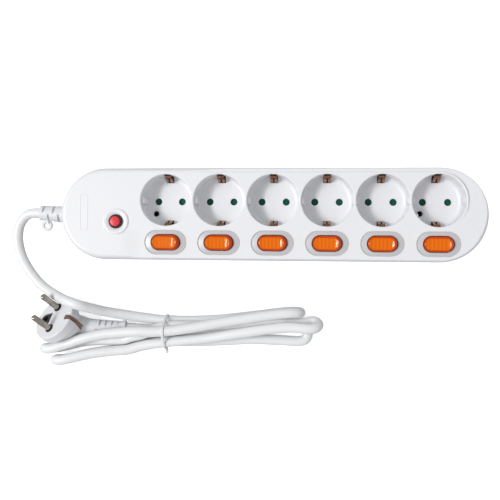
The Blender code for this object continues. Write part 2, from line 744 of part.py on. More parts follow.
def build_breaker(body_material, button_material):
    """The overload breaker: a box under the head, a dark collar through it and a reset button."""
    half_x, half_y = 12 * MM, 7.5 * MM
    low, high = 16 * MM, TOP_Z - COVER_PLATE - GAP
    collar_top, bore_bottom = 42.2 * MM, 21 * MM
    centre = (BREAKER_X, BREAKER_Y)
    bm = bmesh.new()
    add_box(bm, (BREAKER_X - half_x, BREAKER_Y - half_y, low), (BREAKER_X + half_x, BREAKER_Y + half_y, high))
    body = make_object("breaker_body", bm, body_material)
    bm = bmesh.new()
    add_post(bm, COLLAR_RADIUS, 20, centre, high - 1 * MM, collar_top)
    boolean(body, "UNION", bm)
    bm = bmesh.new()
    add_post(bm, BUTTON_RADIUS + GAP, 20, centre, bore_bottom, collar_top + 1 * MM)
    boolean(body, "DIFFERENCE", bm)

    bottom, top, edge = 25 * MM, 43.8 * MM, 0.7 * MM
    bm = bmesh.new()
    profile = [(bottom - top, BUTTON_RADIUS), (-edge, BUTTON_RADIUS), (0.0, BUTTON_RADIUS - edge)]
    add_turned(bm, profile, 20)
    make_object("breaker_reset_button", bm, button_material, location=(*centre, top))


# ---------------------------------------------------------------- lead


def boot_frame():
    """Where the boot leaves the end wall: local +X points out along the lead."""
    return make_empty("boot_frame", (-HOUSING_LENGTH / 2, 0, PARTING_Z), (0, 0, BOOT_YAW))


def build_boot(material):
    """The flexible boot on the lead: a flange behind the wall, a slotted cone and a hanging eye."""
    frame = boot_frame()
    flange = [(-6.8 * MM, 8.4 * MM), (-4.4 * MM, 8.4 * MM), (-4.4 * MM, 6.4 * MM)]
    cone = [(0.9 * MM, 6.4 * MM), (0.9 * MM, 6.9 * MM), (22.0 * MM, 6.1 * MM), (25.5 * MM, 6.1 * MM)]
    bm = bmesh.new()
    add_turned(bm, flange + cone, 16, axis="X")
    boot = make_object("lead_boot", bm, material, parent=frame)
    eye = (19.6 * MM, 10.0 * MM)
    half = 1.5 * MM
    bm = bmesh.new()
    add_post(bm, 4.65 * MM, 14, eye, -half, half)
    boolean(boot, "UNION", bm)
    bm = bmesh.new()
    bore = [(x, BOOT_BORE) for x in (-8 * MM, 28 * MM)]
    add_turned(bm, bore, 16, axis="X")
    boolean(boot, "DIFFERENCE", bm)
    bm = bmesh.new()
    add_post(bm, 1.9 * MM, 12, eye, -2 * half, 2 * half)
    depth, reach, half_slot, half_span = 4.9 * MM, 8 * MM, 1.0 * MM, 4.2 * MM
    for x in (8.0 * MM, 15.0 * MM):
        for low, high in ((depth, reach), (-reach, -depth)):
            add_box(bm, (x - half_slot, -half_span, low), (x + half_slot, half_span, high))
    for x in (4.5 * MM, 11.5 * MM):
        for low, high in ((depth, reach), (-reach, -depth)):
            add_box(bm, (x - half_slot, low, -half_span), (x + half_slot, high, half_span))
    boolean(boot, "DIFFERENCE", bm)


def build_cord_clamp(material):
    """A saddle over the lead, inside the housing."""
    low_x, high_x = -155.5 * MM, -151.0 * MM
    middle_y = -0.7 * MM
    saddle = arc((middle_y, PARTING_Z), BOOT_BORE, 180, 0, 8)
    saddle = [(-9.5 * MM, PARTING_Z + GAP), *saddle, (10.5 * MM, PARTING_Z + GAP)]
    saddle += [(10.5 * MM, 17 * MM), (5 * MM, 20 * MM), (-4 * MM, 20 * MM), (-9.5 * MM, 17 * MM)]
    bm = bmesh.new()
    add_cross_prism(bm, saddle, low_x, high_x)
    make_object("cord_clamp", bm, material)


def turn(centre, radius, lean, start, stop, steps=4):
    """Knots round a U-turn of the lead. A lean of 0 stands it upright, and 90 lays it flat."""
    lean = math.radians(lean)
    knots = []
    for angle in np.radians(np.linspace(start, stop, steps + 1)):
        out, across = radius * math.cos(angle), radius * math.sin(angle)
        knots.append(Vector(centre) + Vector((out, across * math.sin(lean), across * math.cos(lean))))
    return knots


def lead_strands():
    """The course of the lead in millimetres: six strands lie side by side in the bundle, numbered
    from the housing to the plug, with a U-turn between each and the next."""
    floor, raised = 4.4, 5.6
    leaving = [(-149.5, -0.9, 14), (-157, -0.45, 14), (-173, 0.66, 14), (-187, 1.65, 14)]
    leaving += [(-200, 0.4, 13.5), (-207, -7, 12.5), (-209.4, -18, 11.5), (-207.2, -31, 11)]
    leaving += [(-200.4, -44, 11.5), (-187, -58, 14.5), (-171.4, -66.3, 20.3), (-159.4, -70, 27.6)]
    leaving += [(-151.5, -72.4, 28.4), (-142.6, -75.4, 22), (-132, -78.6, 14), (-118.6, -81.2, 8.8)]
    first = [(-104, -83.4, 6.2), (-86, -85.2, raised), (-50, -84.6, floor), (-15, -80.6, floor)]
    first.append((8, -77.4, floor))
    right_first = turn((16.8, -76.6, 11.5), 7.1, 0, -90, 90)
    second = [(4, -77.8, 19.2), (-37, -84.6, 20.2), (-62, -89.4, 21), (-86, -92.8, 21.4)]
    second += [(-104, -92.9, 21.8), (-116, -93.9, 21), (-134, -95.9, 19.8), (-152, -100.3, 19.2)]
    second.append((-164, -104.4, 17.6))
    left_first = turn((-179, -109.4, 10.6), 6.2, 4, 90, 270)
    third = [(-166, -106.8, floor), (-157, -104.4, 5.6), (-148, -102.8, 8.6), (-138, -101.8, 10.3)]
    third += [(-127, -101.5, 10.6), (-118.6, -100.9, 10.8), (-112, -98.4, 12.4), (-104, -96.4, 13.5)]
    third += [(-96, -93.4, 13.8), (-86, -89.6, 13.5), (-50, -88.4, 12.2), (-28, -86.6, 11.8)]
    third += [(0, -84.2, 11.8), (14, -85.4, 12.4), (26, -85.0, 12.2)]
    right_second = turn((32, -85.8, 16.2), 6.2, -24, -70, 90)
    fourth = [(18, -87.6, 21.2), (5, -88.6, 20.4), (-28, -94.0, 18), (-50, -98.0, 15.4), (-86, -102.3, 14.2)]
    fourth += [(-104, -105.6, 13.2), (-115, -108.8, 13.4), (-127, -110.0, 13.8), (-146, -112.6, 15.4)]
    left_second = turn((-170, -118.6, 10.4), 6.0, 4, 90, 270)
    fifth = [(-150, -114.0, floor), (-127, -110.0, floor), (-106, -105.0, floor), (-86, -102.4, raised)]
    fifth += [(-50, -101.6, floor), (-15, -99.4, floor), (8, -99.8, floor)]
    right_third = turn((24, -94.2, floor), 5.9, -90, -90, 90)
    sixth = [(8, -88.3, floor), (-15, -89.6, floor), (-50, -93.0, floor), (-86, -93.8, raised)]
    sixth += [(-104, -92.6, 5.6), (-114, -92.1, 6.0), (-121.5, -91.7, 6.8)]
    outward = leaving + first + right_first + second + left_first + third + right_second
    return outward + fourth + left_second + fifth + right_third[::-1] + sixth


def lead_path():
    return smooth_path([Vector(knot) * MM for knot in lead_strands()], 2)


def build_power_cable(material):
    bm = bmesh.new()
    add_tube(bm, lead_path(), CABLE_RADIUS, 8)
    make_object("power_cable", bm, material)


def strands_at(plane_x):
    """(y, z) of every strand of the bundle where it crosses the plane."""
    path = lead_path()
    found = []
    for a, b in zip(path, path[1:]):
        if (a.x - plane_x) * (b.x - plane_x) < 0 and a.y < -70 * MM:
            point = a.lerp(b, (plane_x - a.x) / (b.x - a.x))
            found.append(Vector((point.y, point.z)))
    return found


def build_twist_tie(material):
    """A flat tie drawn round the bundle, with its two ends twisted together at the front."""
    plane_x, half_width, thickness = -84.5 * MM, 1.5 * MM, 0.9 * MM
    strands = strands_at(plane_x)

    def hull(radius, x):
        """The line that a band at this radius takes round the strands."""
        loop = []
        for angle in np.radians(np.linspace(0, 360, 32, endpoint=False)):
            normal = Vector((math.cos(angle), math.sin(angle)))
            furthest = max(strands, key=normal.dot) + normal * radius
            loop.append((x, furthest.x, furthest.y))
        return loop

    inner = CABLE_RADIUS + GAP
    outer = inner + thickness
    near, far = plane_x - half_width, plane_x + half_width
    bm = bmesh.new()
    add_ring(bm, [hull(inner, near), hull(outer, near), hull(outer, far), hull(inner, far)])
    tie = make_object("twist_tie", bm, material)

    front_y = min(point.x for point in strands) - inner
    start = Vector((plane_x, front_y - 0.45 * thickness, 9 * MM))
    along = Vector((0.35, -0.55, 0.75)).normalized()
    side = along.cross(Vector((1, 0, 0))).normalized()
    length, turns, steps = 6 * MM, 1.0, 8
    rings = []
    for step in range(steps + 1):
        angle = 2 * math.pi * turns * step / steps
        across = side * math.cos(angle) + along.cross(side) * math.sin(angle)
        up = along.cross(across)
        centre = start + along * (length * step / steps)
        corners = [(-1, -1), (1, -1), (1, 1), (-1, 1)]
        rings.append([centre + across * (u * 1.3 * MM) + up * (v * 0.7 * MM) for u, v in corners])
    bm = bmesh.new()
    add_loft(bm, rings)
    boolean(tie, "UNION", bm)


def build_wires(brown, blue, green):
    """The three cores, from the end of the lead to the breaker and to the two bars."""
    start_x = -148.1
    live = [(start_x, -1.6, 15.6), (-143, -4, 16.5), (-137, -6, 19), (-130.9, -6.3, 20)]
    neutral = [(start_x, 2.2, 14.6), (-138, 9, 13), (-122, 18, 10), (-111, 20.4, 9.4)]
    neutral.append((-104.4, 20.5, 9.4))
    earth = [(start_x, -0.4, 11.8), (-138, -3, 12), (-120, -4, 12.4), (-112, -5.0, 12.8)]
    earth += [(-107.5, -7.4, 13.6), (-104.8, -7.7, 13.8)]
    courses = {
        "live_wire": (live, brown),
        "neutral_wire": (neutral, blue),
        "earth_wire": (earth, green),
    }
    for name, (knots, material) in courses.items():
        bm = bmesh.new()
        add_tube(bm, smooth_path([Vector(knot) * MM for knot in knots], 3), WIRE_RADIUS, 6)
        make_object(name, bm, material)


# ---------------------------------------------------------------- plug


def plug_frame():
    """Local +Z is the direction of the pins, local X joins them, and local Y crosses the side clips."""
    direction = PLUG_PIN_DIRECTION.normalized()
    line = (PLUG_PIN_LINE - direction * PLUG_PIN_LINE.dot(direction)).normalized()
    clips = direction.cross(line)
    turned = Matrix((line, clips, direction)).transposed()
    return make_empty("plug_frame", PLUG_FACE, turned.to_euler()), turned


def build_plug_body(frame, to_world, material):
    """A round face with a thick rim, a tapered back, and a handle that leaves sideways to the lead."""
    sections = [(0.0, 18.0, 18.0), (0.8, 18.8, 18.8), (8.2, 18.8, 18.8), (9.0, 16.8, 17.8)]
    sections += [(12.0, 14.6, 17.2), (15.0, 12.0, 16.6), (18.0, 9.0, 15.2), (19.4, 7.0, 11.0)]
    rings = []
    for depth, along_pins, across in sections:
        rings.append([(x * along_pins * MM, y * across * MM, -depth * MM) for x, y in circle(1.0, 28)])
    bm = bmesh.new()
    add_loft(bm, rings)
    body = make_object("plug_body", bm, material, parent=frame)

    course = [(-165.5, -90.8, 10.2), (-157, -90.5, 9.6), (-149, -91.1, 9.4), (-134, -91.5, 8.4), SLEEVE_END]
    from_world = to_world.transposed()
    path = [from_world @ (Vector(point) * MM - PLUG_FACE) for point in course]
    bm = bmesh.new()
    add_tube(bm, path, [9.2 * MM, 8.6 * MM, 6.7 * MM, 5.8 * MM, 5.2 * MM], 20)
    boolean(body, "UNION", bm)

    bm = bmesh.new()
    add_box(bm, *bridge_plate(GAP))
    boolean(body, "DIFFERENCE", bm)
    bm = bmesh.new()
    add_bridge_face(bm, GAP, 1 * MM)
    boolean(body, "DIFFERENCE", bm)
    half = EARTH_WIDTH / 2
    bm = bmesh.new()
    outline = [(-20.0, 1.0), (-15.0, 1.0), (-15.0, -16.2), (14.4, -16.2), (14.4, -1.6)]
    outline += [(12.2, -1.6), (12.2, 1.0), (20.0, 1.0), (20.0, -17.8), (-20.0, -17.8)]
    add_cross_prism(bm, [(y * MM, z * MM) for y, z in outline], -half, half)
    bore_start = path[3].lerp(path[4], 0.35)
    bore_end = path[4] + (path[4] - path[3]) * 0.2
    add_tube(bm, [bore_start, bore_end], BOOT_BORE, 12)
    boolean(body, "DIFFERENCE", bm)


def bridge_plate(gap):
    return (-13 * MM - gap, -13.2 * MM - gap, -6 * MM - gap), (13 * MM + gap, 3.6 * MM + gap, -3 * MM + gap)


def add_bridge_face(bm, gap, proud):
    """What shows of the pin bridge in the face of the plug: two collars and a rounded triangle."""
    low, collar_top = -4 * MM, 0.6 * MM
    for side in (-1, 1):
        add_post(bm, 3.3 * MM + gap, 16, (side * PIN_OFFSET, 0), low, collar_top + proud)
    triangle = arc((0, -9.6 * MM), 4.1 * MM + gap, 200, 340, 8)
    triangle += [(4.9 * MM + gap, -3.6 * MM + gap), (-4.9 * MM - gap, -3.6 * MM + gap)]
    add_prism(bm, triangle, low, -0.8 * MM + proud * 2)


def build_pin_bridge(frame, material):
    """The dark insert that holds the two pins and the hole for an earth pin."""
    bm = bmesh.new()
    add_box(bm, *bridge_plate(0.0))
    bridge = make_object("plug_pin_bridge", bm, material, parent=frame)
    bm = bmesh.new()
    add_bridge_face(bm, 0.0, 0.0)
    boolean(bridge, "UNION", bm)
    bm = bmesh.new()
    for side in (-1, 1):
        add_post(bm, PIN_RADIUS + GAP, 16, (side * PIN_OFFSET, 0), -7 * MM, 2 * MM)
    add_post(bm, 2.6 * MM, 16, (0, -10 * MM), -7 * MM, 2 * MM)
    boolean(bridge, "DIFFERENCE", bm)


def build_plug_pins(frame, material):
    bm = bmesh.new()
    profile = [(-5.6 * MM, PIN_RADIUS), (PIN_LENGTH - 1.6 * MM, PIN_RADIUS)]
    profile += [(PIN_LENGTH - 0.5 * MM, 1.8 * MM), (PIN_LENGTH, 0.9 * MM)]
    add_turned(bm, profile, 16)
    mesh = mesh_from("plug_pin", bm, material)
    for name, side in (("plug_pin_live", -1), ("plug_pin_neutral", 1)):
        place(name, mesh, (side * PIN_OFFSET, 0, 0), parent=frame)


def build_plug_earth(frame, material):
    """The earth strap across the plug, whose two ends stand in the side grooves."""
    half = EARTH_WIDTH / 2 - GAP
    leg = [(16.6, -4.0), (15.8, -12.0), (15.6, -17.0)]
    right = [(12.9, -0.9), (14.6, -0.6), (16.4, -1.6), *leg]
    left = [(-y, z) for y, z in [(15.7, -0.9), (16.5, -1.8), *leg][::-1]]
    outline = ribbon([(y * MM, z * MM) for y, z in right + left], STRIP_METAL)
    bm = bmesh.new()
    add_cross_prism(bm, outline, -half, half)
    make_object("plug_earth_contact", bm, material, parent=frame)


def main():
    clear_scene()
    white = make_material("white_housing_plastic", (0.83, 0.84, 0.87), 0.35)
    grey = make_material("grey_bezel_plastic", (0.60, 0.61, 0.64), 0.4)
    orange = make_material("orange_rocker_plastic", (0.90, 0.17, 0.01), 0.2, alpha=0.9)
    green = make_material("green_shutter_plastic", (0.01, 0.16, 0.08), 0.45)
    black = make_material("black_breaker_plastic", (0.02, 0.02, 0.02), 0.5)
    red = make_material("red_button_plastic", (0.80, 0.03, 0.05), 0.3)
    phenolic = make_material("dark_insulating_plastic", (0.05, 0.045, 0.04), 0.6)
    brass = make_material("brass", (0.80, 0.58, 0.25), 0.3, 1.0)
    bronze = make_material("earth_bronze", (0.55, 0.30, 0.17), 0.35, 1.0)
    steel = make_material("screw_steel", (0.62, 0.62, 0.64), 0.3, 1.0)
    glass = make_material("lamp_glass", (0.95, 0.75, 0.55), 0.1, alpha=0.5)
    rubber = make_material("white_boot_pvc", (0.82, 0.83, 0.85), 0.5)
    sheath = make_material("white_cable_sheath", (0.80, 0.81, 0.82), 0.45)
    plug_pvc = make_material("white_plug_pvc", (0.80, 0.81, 0.84), 0.5)
    insert = make_material("black_insert_plastic", (0.03, 0.028, 0.028), 0.5)
    tie_plastic = make_material("white_tie_plastic", (0.86, 0.86, 0.86), 0.4)
    brown = make_material("brown_wire", (0.20, 0.07, 0.02), 0.4)
    blue = make_material("blue_wire", (0.02, 0.12, 0.50), 0.4)
    stripe = make_material("green_earth_wire", (0.15, 0.42, 0.05), 0.4)
    nickel = make_material("nickel_pin", (0.52, 0.47, 0.42), 0.25, 1.0)

    build_top_cover(white)
    build_base_shell(white)
    build_cover_screws(steel)
    build_shutters(green)
    build_carrier(phenolic)
    build_neutral_busbar(brass)
    build_live_contacts(brass)
    build_live_feed(brass)
    build_earth_busbar(bronze)
    frames = switch_frames()
    build_switch_bezels(frames, grey)
    build_rockers(frames, orange)
    build_neon_lamps(frames, glass)
    build_switch_blades(frames, brass)
    build_breaker(black, red)
    build_boot(rubber)
    build_cord_clamp(phenolic)
    build_power_cable(sheath)
    build_twist_tie(tie_plastic)
    build_wires(brown, blue, stripe)
    frame, to_world = plug_frame()
    build_plug_body(frame, to_world, plug_pvc)
    build_pin_bridge(frame, insert)
    build_plug_pins(frame, nickel)
    build_plug_earth(frame, bronze)


main()
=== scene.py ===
"""Looks for the power strip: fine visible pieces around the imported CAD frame, in the same metres.

Positions come from the frame: the joints give the socket and switch centres, and the boxes of the
CAD nodes give the housing. Lengths marked MM are millimetres. A solid is a list of rings, and each
ring is a list of points: new_object, cut and join loft through the rings of every solid they get.
"""

import json
import math

import bmesh
import bpy
import numpy as np
from mathutils import Matrix, Vector


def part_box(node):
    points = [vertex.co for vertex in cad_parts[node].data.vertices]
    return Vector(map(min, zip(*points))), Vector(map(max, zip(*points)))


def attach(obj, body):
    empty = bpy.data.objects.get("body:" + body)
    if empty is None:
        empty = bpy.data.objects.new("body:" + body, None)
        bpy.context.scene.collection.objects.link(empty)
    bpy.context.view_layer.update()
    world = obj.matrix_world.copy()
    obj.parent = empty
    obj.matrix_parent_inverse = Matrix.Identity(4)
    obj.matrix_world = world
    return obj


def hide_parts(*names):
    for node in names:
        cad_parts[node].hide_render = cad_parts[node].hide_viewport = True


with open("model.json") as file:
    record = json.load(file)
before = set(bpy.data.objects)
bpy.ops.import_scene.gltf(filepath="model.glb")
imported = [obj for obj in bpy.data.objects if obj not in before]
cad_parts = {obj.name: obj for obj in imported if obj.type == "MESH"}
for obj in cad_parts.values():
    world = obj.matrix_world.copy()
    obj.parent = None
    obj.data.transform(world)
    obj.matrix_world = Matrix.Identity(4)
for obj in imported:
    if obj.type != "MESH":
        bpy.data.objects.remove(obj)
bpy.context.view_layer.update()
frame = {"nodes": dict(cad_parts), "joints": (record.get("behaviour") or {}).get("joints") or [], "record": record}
NODES = frame["nodes"]
SLOTS = {entry["node"]: entry["material_slot"] for entry in frame["record"]["subparts"]}
JOINTS = {joint["name"]: joint for joint in frame["joints"]}

MM = 0.001


def mm(*values):
    return [value * MM for value in values]


GAP = 0.3 * MM
HOUSING = "housing"

# Places taken from the frame
COVER_LOW, COVER_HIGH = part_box("top_cover")
HOUSING_LENGTH = COVER_HIGH.x - COVER_LOW.x
HOUSING_WIDTH = COVER_HIGH.y - COVER_LOW.y
PARTING_Z = COVER_LOW.z
TOP_Z = 40.0 * MM
NUMBERS = range(1, 7)
SOCKETS = [Vector(JOINTS[f"shutter_{number}"]["pos_m"]) for number in NUMBERS]
ROCKER_PIVOTS = [Vector(JOINTS[f"rocker_{number}"]["pos_m"]) for number in NUMBERS]
SOCKET_Y = SOCKETS[0].y
BUTTON_LOW, BUTTON_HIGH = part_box("breaker_reset_button")
BREAKER = Vector(((BUTTON_LOW.x + BUTTON_HIGH.x) / 2, (BUTTON_LOW.y + BUTTON_HIGH.y) / 2))
SCREW_BOXES = [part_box(f"cover_screw_{number}") for number in range(1, 5)]
SCREWS = [(low + high) / 2 for low, high in SCREW_BOXES]

# Housing
WALL = 2.0 * MM
COVER_PLATE = 3.2 * MM
BASE_PLATE = 2.2 * MM
SHOULDER = mm(4.5, 7.0)
WELL_RADIUS = 19.8 * MM
WELL_WALL = 1.8 * MM
WELL_DEPTH = 18.0 * MM
WELL_FLOOR = 2.0 * MM
FLOOR_TOP = TOP_Z - WELL_DEPTH
FLOOR_UNDER = FLOOR_TOP - WELL_FLOOR
PIN_OFFSET = 9.5 * MM
PIN_HOLE_RADIUS = 2.75 * MM
EARTH_WIDTH = 5.4 * MM
CLIP_GROOVE = mm(14.8, 20.9)
CLIP_WINDOW = mm(20.0, 22.6)
RIB_HALF_WIDTH = 2.5 * MM
RIB_REACHES = ((-1, 17.6 * MM), (1, 18.9 * MM))
RIB_TOP = 36.4 * MM
COVER_BOSS_RADIUS = 3.4 * MM
COVER_BOSS_BORE = 1.6 * MM
BASE_BOSS_RADIUS = 4.6 * MM
FIXING_HOLE_RADIUS = 2.15 * MM
CABLE_HOLE_RADIUS = 7.1 * MM
BADGE_STEPS = (0.0, 0.5 * MM, 1.9 * MM, 2.3 * MM)
DECK_BACK_Y = -11.0 * MM
DECK_FALL = math.radians(4.0)
DECK_START_X = mm(-116.0, -98.0)
LEDGE_DROP = 2.4 * MM
LEDGE_START_X = mm(-78.0, -20.0)
PANEL_RADIUS = 21.5 * MM

# Switches
SWITCH_Y = -22.15 * MM
BEZEL = mm(32.0, 18.3)
BEZEL_TOP = -0.15 * MM
SWITCH_OPENING = mm(23.0, 12.4)
SWITCH_BODY = mm(26.4, 15.4)
SWITCH_DEPTH = 15.0 * MM
ROCKER = mm(22.2, 11.6)
ROCKER_HEIGHT = 5.0 * MM
ROCKER_PIVOT = -1.5 * MM
ROCKER_TILT = math.radians(-8.0)

# Breaker, lead and plug
BREAKER_RING_RADIUS = 10.15 * MM
COLLAR_RADIUS = 5.3 * MM
BUTTON_RADIUS = 4.0 * MM
CABLE_RADIUS = 4.1 * MM
BOOT_BORE = 4.4 * MM
BOOT_SLOT_DEPTH = 4.65 * MM
BOOT_EYE_RADIUS = 4.65 * MM
BOOT_YAW = math.radians(176.0)
PLUG_FACE = Vector((-173.8, -83.3, 22.9)) * MM
PLUG_PIN_DIRECTION = Vector((-0.429, 0.546, 0.719))
PLUG_PIN_LINE = Vector((-0.159, -0.83, 0.535))
SLEEVE_END = (-118.6, -91.8, 6.6)
PLUG_CLIP_WIDTH = 3.0 * MM
PLUG_CLIP_THICKNESS = 0.8 * MM
PIN_RADIUS = 2.4 * MM
PIN_LENGTH = 19.0 * MM
PIN_TIP = 2.2 * MM


# ---- outlines and solids


def in_mm(points):
    return [mm(*point) for point in points]


def directions(start, stop, count):
    """(cosine, sine) pairs at even steps from one angle in degrees to another."""
    return [(math.cos(a), math.sin(a)) for a in np.radians(np.linspace(start, stop, count))]


def arc(centre, radius, start, stop, steps):
    """Points on an arc, both ends included. Angles are in degrees."""
    x, y = centre
    return [(x + radius * cos, y + radius * sin) for cos, sin in directions(start, stop, steps + 1)]


def circle(radius, steps, centre=(0.0, 0.0)):
    return arc(centre, radius, 0, 360, steps)[:-1]


def slot(length, width, steps):
    """A slot outline: straight sides along X and full round ends."""
    reach, radius = (length - width) / 2, width / 2
    return arc((reach, 0), radius, -90, 90, steps) + arc((-reach, 0), radius, 90, 270, steps)


def rectangle(low, high):
    return [(low[0], low[1]), (high[0], low[1]), (high[0], high[1]), (low[0], high[1])]


def rounded_rectangle(low, high, radius, steps=4):
    left, right = low[0] + radius, high[0] - radius
    front, back = low[1] + radius, high[1] - radius
    points = arc((right, front), radius, -90, 0, steps) + arc((right, back), radius, 0, 90, steps)
    points += arc((left, back), radius, 90, 180, steps)
    return points + arc((left, front), radius, 180, 270, steps)


def level(outline, z):
    return [(x, y, z) for x, y in outline]


def add_loft(bm, rings):
    """Skins rings with equal point counts and caps both ends. A hoop, whose last ring is its first
    one again, has no caps."""
    loops = [[bm.verts.new(point) for point in ring] for ring in rings]
    faces = []
    for near, far in zip(loops, loops[1:]):
        for index, corner in enumerate(near):
            after = (index + 1) % len(near)
            faces.append(bm.faces.new((corner, near[after], far[after], far[index])))
    if rings[0] is not rings[-1]:
        faces.append(bm.faces.new(tuple(reversed(loops[0]))))
        faces.append(bm.faces.new(loops[-1]))
    bmesh.ops.recalc_face_normals(bm, faces=faces)


def hoop(rings):
    """A ring-shaped solid through loops that follow one another round its section."""
    return [*rings, rings[0]]


def prism(outline, low, high):
    return [level(outline, low), level(outline, high)]


def cross_prism(outline, low, high):
    """An outline in the YZ plane, extruded along X."""
    return [[(x, y, z) for y, z in outline] for x in (low, high)]


def box(low, high):
    return prism(rectangle(low, high), low[2], high[2])


def column(profile, steps, centre=(0.0, 0.0)):
    """A round solid that stands on a centre, from (height, radius) pairs."""
    return [level(circle(radius, steps, centre), z) for z, radius in profile]


def post(radius, steps, centre, low, high):
    return column([(low, radius), (high, radius)], steps, centre)


def bar(profile, steps):
    """A round solid about the X axis, from (distance along it, radius) pairs."""
    return [[(along, x, y) for x, y in circle(radius, steps)] for along, radius in profile]


def placed(matrix, rings):
    return [[matrix @ Vector(point) for point in ring] for ring in rings]


def tube(path, radius, sides):
    """A round bar along a path of points. The radius is one value, or one for each point."""
    radii = [radius] * len(path) if isinstance(radius, float) else radius
    tangents = [(b - a).normalized() for a, b in zip(path, path[1:])]
    tangents.append(tangents[-1])
    side = tangents[0].orthogonal().normalized()
    rings = []
    for index, (point, size) in enumerate(zip(path, radii)):
        tangent = (tangents[max(index - 1, 0)] + tangents[index]).normalized()
        side = (side - tangent * side.dot(tangent)).normalized()
        other = tangent.cross(side)
        rings.append([point + side * x + other * y for x, y in circle(size, sides)])
    return rings


def ribbon(points, thickness):
    """The outline of a bent strip of even thickness around a line of 2-D points."""
    points = [Vector(point) for point in points]
    steps = [(b - a).normalized() for a, b in zip(points, points[1:])]
    left, right = [], []
    for index, point in enumerate(points):
        before = steps[max(index - 1, 0)]
        after = steps[min(index, len(steps) - 1)]
        middle = (before + after).normalized()
        normal = Vector((-middle.y, middle.x)) * (thickness / 2 / middle.dot(after))
        left.append(tuple(point + normal))
        right.append(tuple(point - normal))
    return right + left[::-1]


def smooth_path(knots, steps):
    """A centripetal Catmull-Rom curve through the knots, with even steps from one to the next."""
    knots = [Vector(knot) for knot in knots]
    knots = [knots[0] * 2 - knots[1], *knots, knots[-1] * 2 - knots[-2]]
    path = []
    for before, start, end, after in zip(knots, knots[1:], knots[2:], knots[3:]):
        sides = ((before, start), (start, end), (end, after))
        spans = [math.sqrt((b - a).length) for a, b in sides]
        rise = (start - before) / spans[0] - (end - before) / (spans[0] + spans[1])
        fall = (after - end) / spans[2] - (after - start) / (spans[1] + spans[2])
        leave = rise * spans[1] + (end - start)
        arrive = fall * spans[1] + (end - start)
        for t in (step / steps for step in range(steps)):
            ease = t * t * (3 - 2 * t)
            turn_in = t * (1 - t) ** 2
            turn_out = t * t * (t - 1)
            path.append(start + (end - start) * ease + leave * turn_in + arrive * turn_out)
    path.append(knots[-2])
    return path


def ease(value, start, stop):
    """0 before start, 1 after stop, and a smooth step between."""
    t = min(max((value - start) / (stop - start), 0.0), 1.0)
    return t * t * (3 - 2 * t)


def strip(points, thickness, width, x=0.0):
    """A bent metal strip with chamfered edges, from a line of points in the YZ plane."""
    half, chamfer = width / 2, 0.12 * MM
    full, slim = ribbon(points, thickness), ribbon(points, thickness - 2 * chamfer)
    places = [(-half, slim), (chamfer - half, full), (half - chamfer, full), (half, slim)]
    return [[(x + across, y, z) for y, z in outline] for across, outline in places]


# ---- objects


def link_object(name, data):
    obj = bpy.data.objects.new(name, data)
    bpy.context.scene.collection.objects.link(obj)
    return obj


def new_object(name, solids, matrix=None):
    bm = bmesh.new()
    for rings in solids:
        add_loft(bm, rings)
    mesh = bpy.data.meshes.new(name)
    bm.to_mesh(mesh)
    bm.free()
    if matrix is not None:
        mesh.transform(matrix)
    return link_object(name, mesh)


def bake(obj):
    """Replaces the mesh with the result of its modifiers."""
    graph = bpy.context.evaluated_depsgraph_get()
    mesh = bpy.data.meshes.new_from_object(obj.evaluated_get(graph))
    obj.modifiers.clear()
    obj.data = mesh


def cut_with(obj, helper, operation="DIFFERENCE"):
    """Applies a Boolean with the helper object, which is then removed."""
    modifier = obj.modifiers.new("boolean", "BOOLEAN")
    modifier.operation = operation
    modifier.object = helper
    bake(obj)
    bpy.data.objects.remove(helper)


def cut(obj, solids, matrix=None):
    cut_with(obj, new_object("helper", solids, matrix))


def join(obj, solids):
    cut_with(obj, new_object("helper", solids), "UNION")


def soften(obj, angle=32.0):
    """Smooth shading that keeps the sharp edges and lets the large faces stay flat."""
    bm = bmesh.new()
    bm.from_mesh(obj.data)
    bmesh.ops.remove_doubles(bm, verts=bm.verts, dist=1e-6)
    bmesh.ops.dissolve_degenerate(bm, edges=bm.edges, dist=1e-6)
    bm.to_mesh(obj.data)
    bm.free()
    obj.data.shade_smooth()
    obj.data.set_sharp_from_angle(angle=math.radians(angle))
    modifier = obj.modifiers.new("weighted_normal", "WEIGHTED_NORMAL")
    modifier.keep_sharp = True
    bake(obj)


def paint(obj, node):
    """Gives the object the material of the CAD node's slot."""
    obj.data.materials.clear()
    obj.data.materials.append(MATERIALS[SLOTS[node]])


def finish_piece(obj, body=HOUSING, angle=32.0):
    """Shades and paints a piece, and lets it stand for the CAD node that it is named after."""
    soften(obj, angle)
    node = obj.name.replace("_fine", "")
    paint(obj, node)
    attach(obj, body)
    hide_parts(node)


# ---- materials


def feed(owner, node, **settings):
    """Sets a node's properties, which have names in small letters, and its inputs. A value that is
    another node's output is linked."""
    for key, value in settings.items():
        if key.islower():
            setattr(node, key, value)
        elif isinstance(value, bpy.types.NodeSocket):
            owner.node_tree.links.new(value, node.inputs[key.replace("_", " ")])
        else:
            node.inputs[key.replace("_", " ")].default_value = value


def add_node(material, kind, **settings):
    node = material.node_tree.nodes.new("ShaderNode" + kind)
    feed(material, node, **settings)
    return node


def mix(material, first, second, share):
    node = add_node(material, "Mix", data_type="RGBA", A=first, B=second, Factor=share)
    return node.outputs["Result"]


def new_material(name):
    material = bpy.data.materials.new(name)
    material.use_nodes = True
    return material, material.node_tree.nodes["Principled BSDF"]


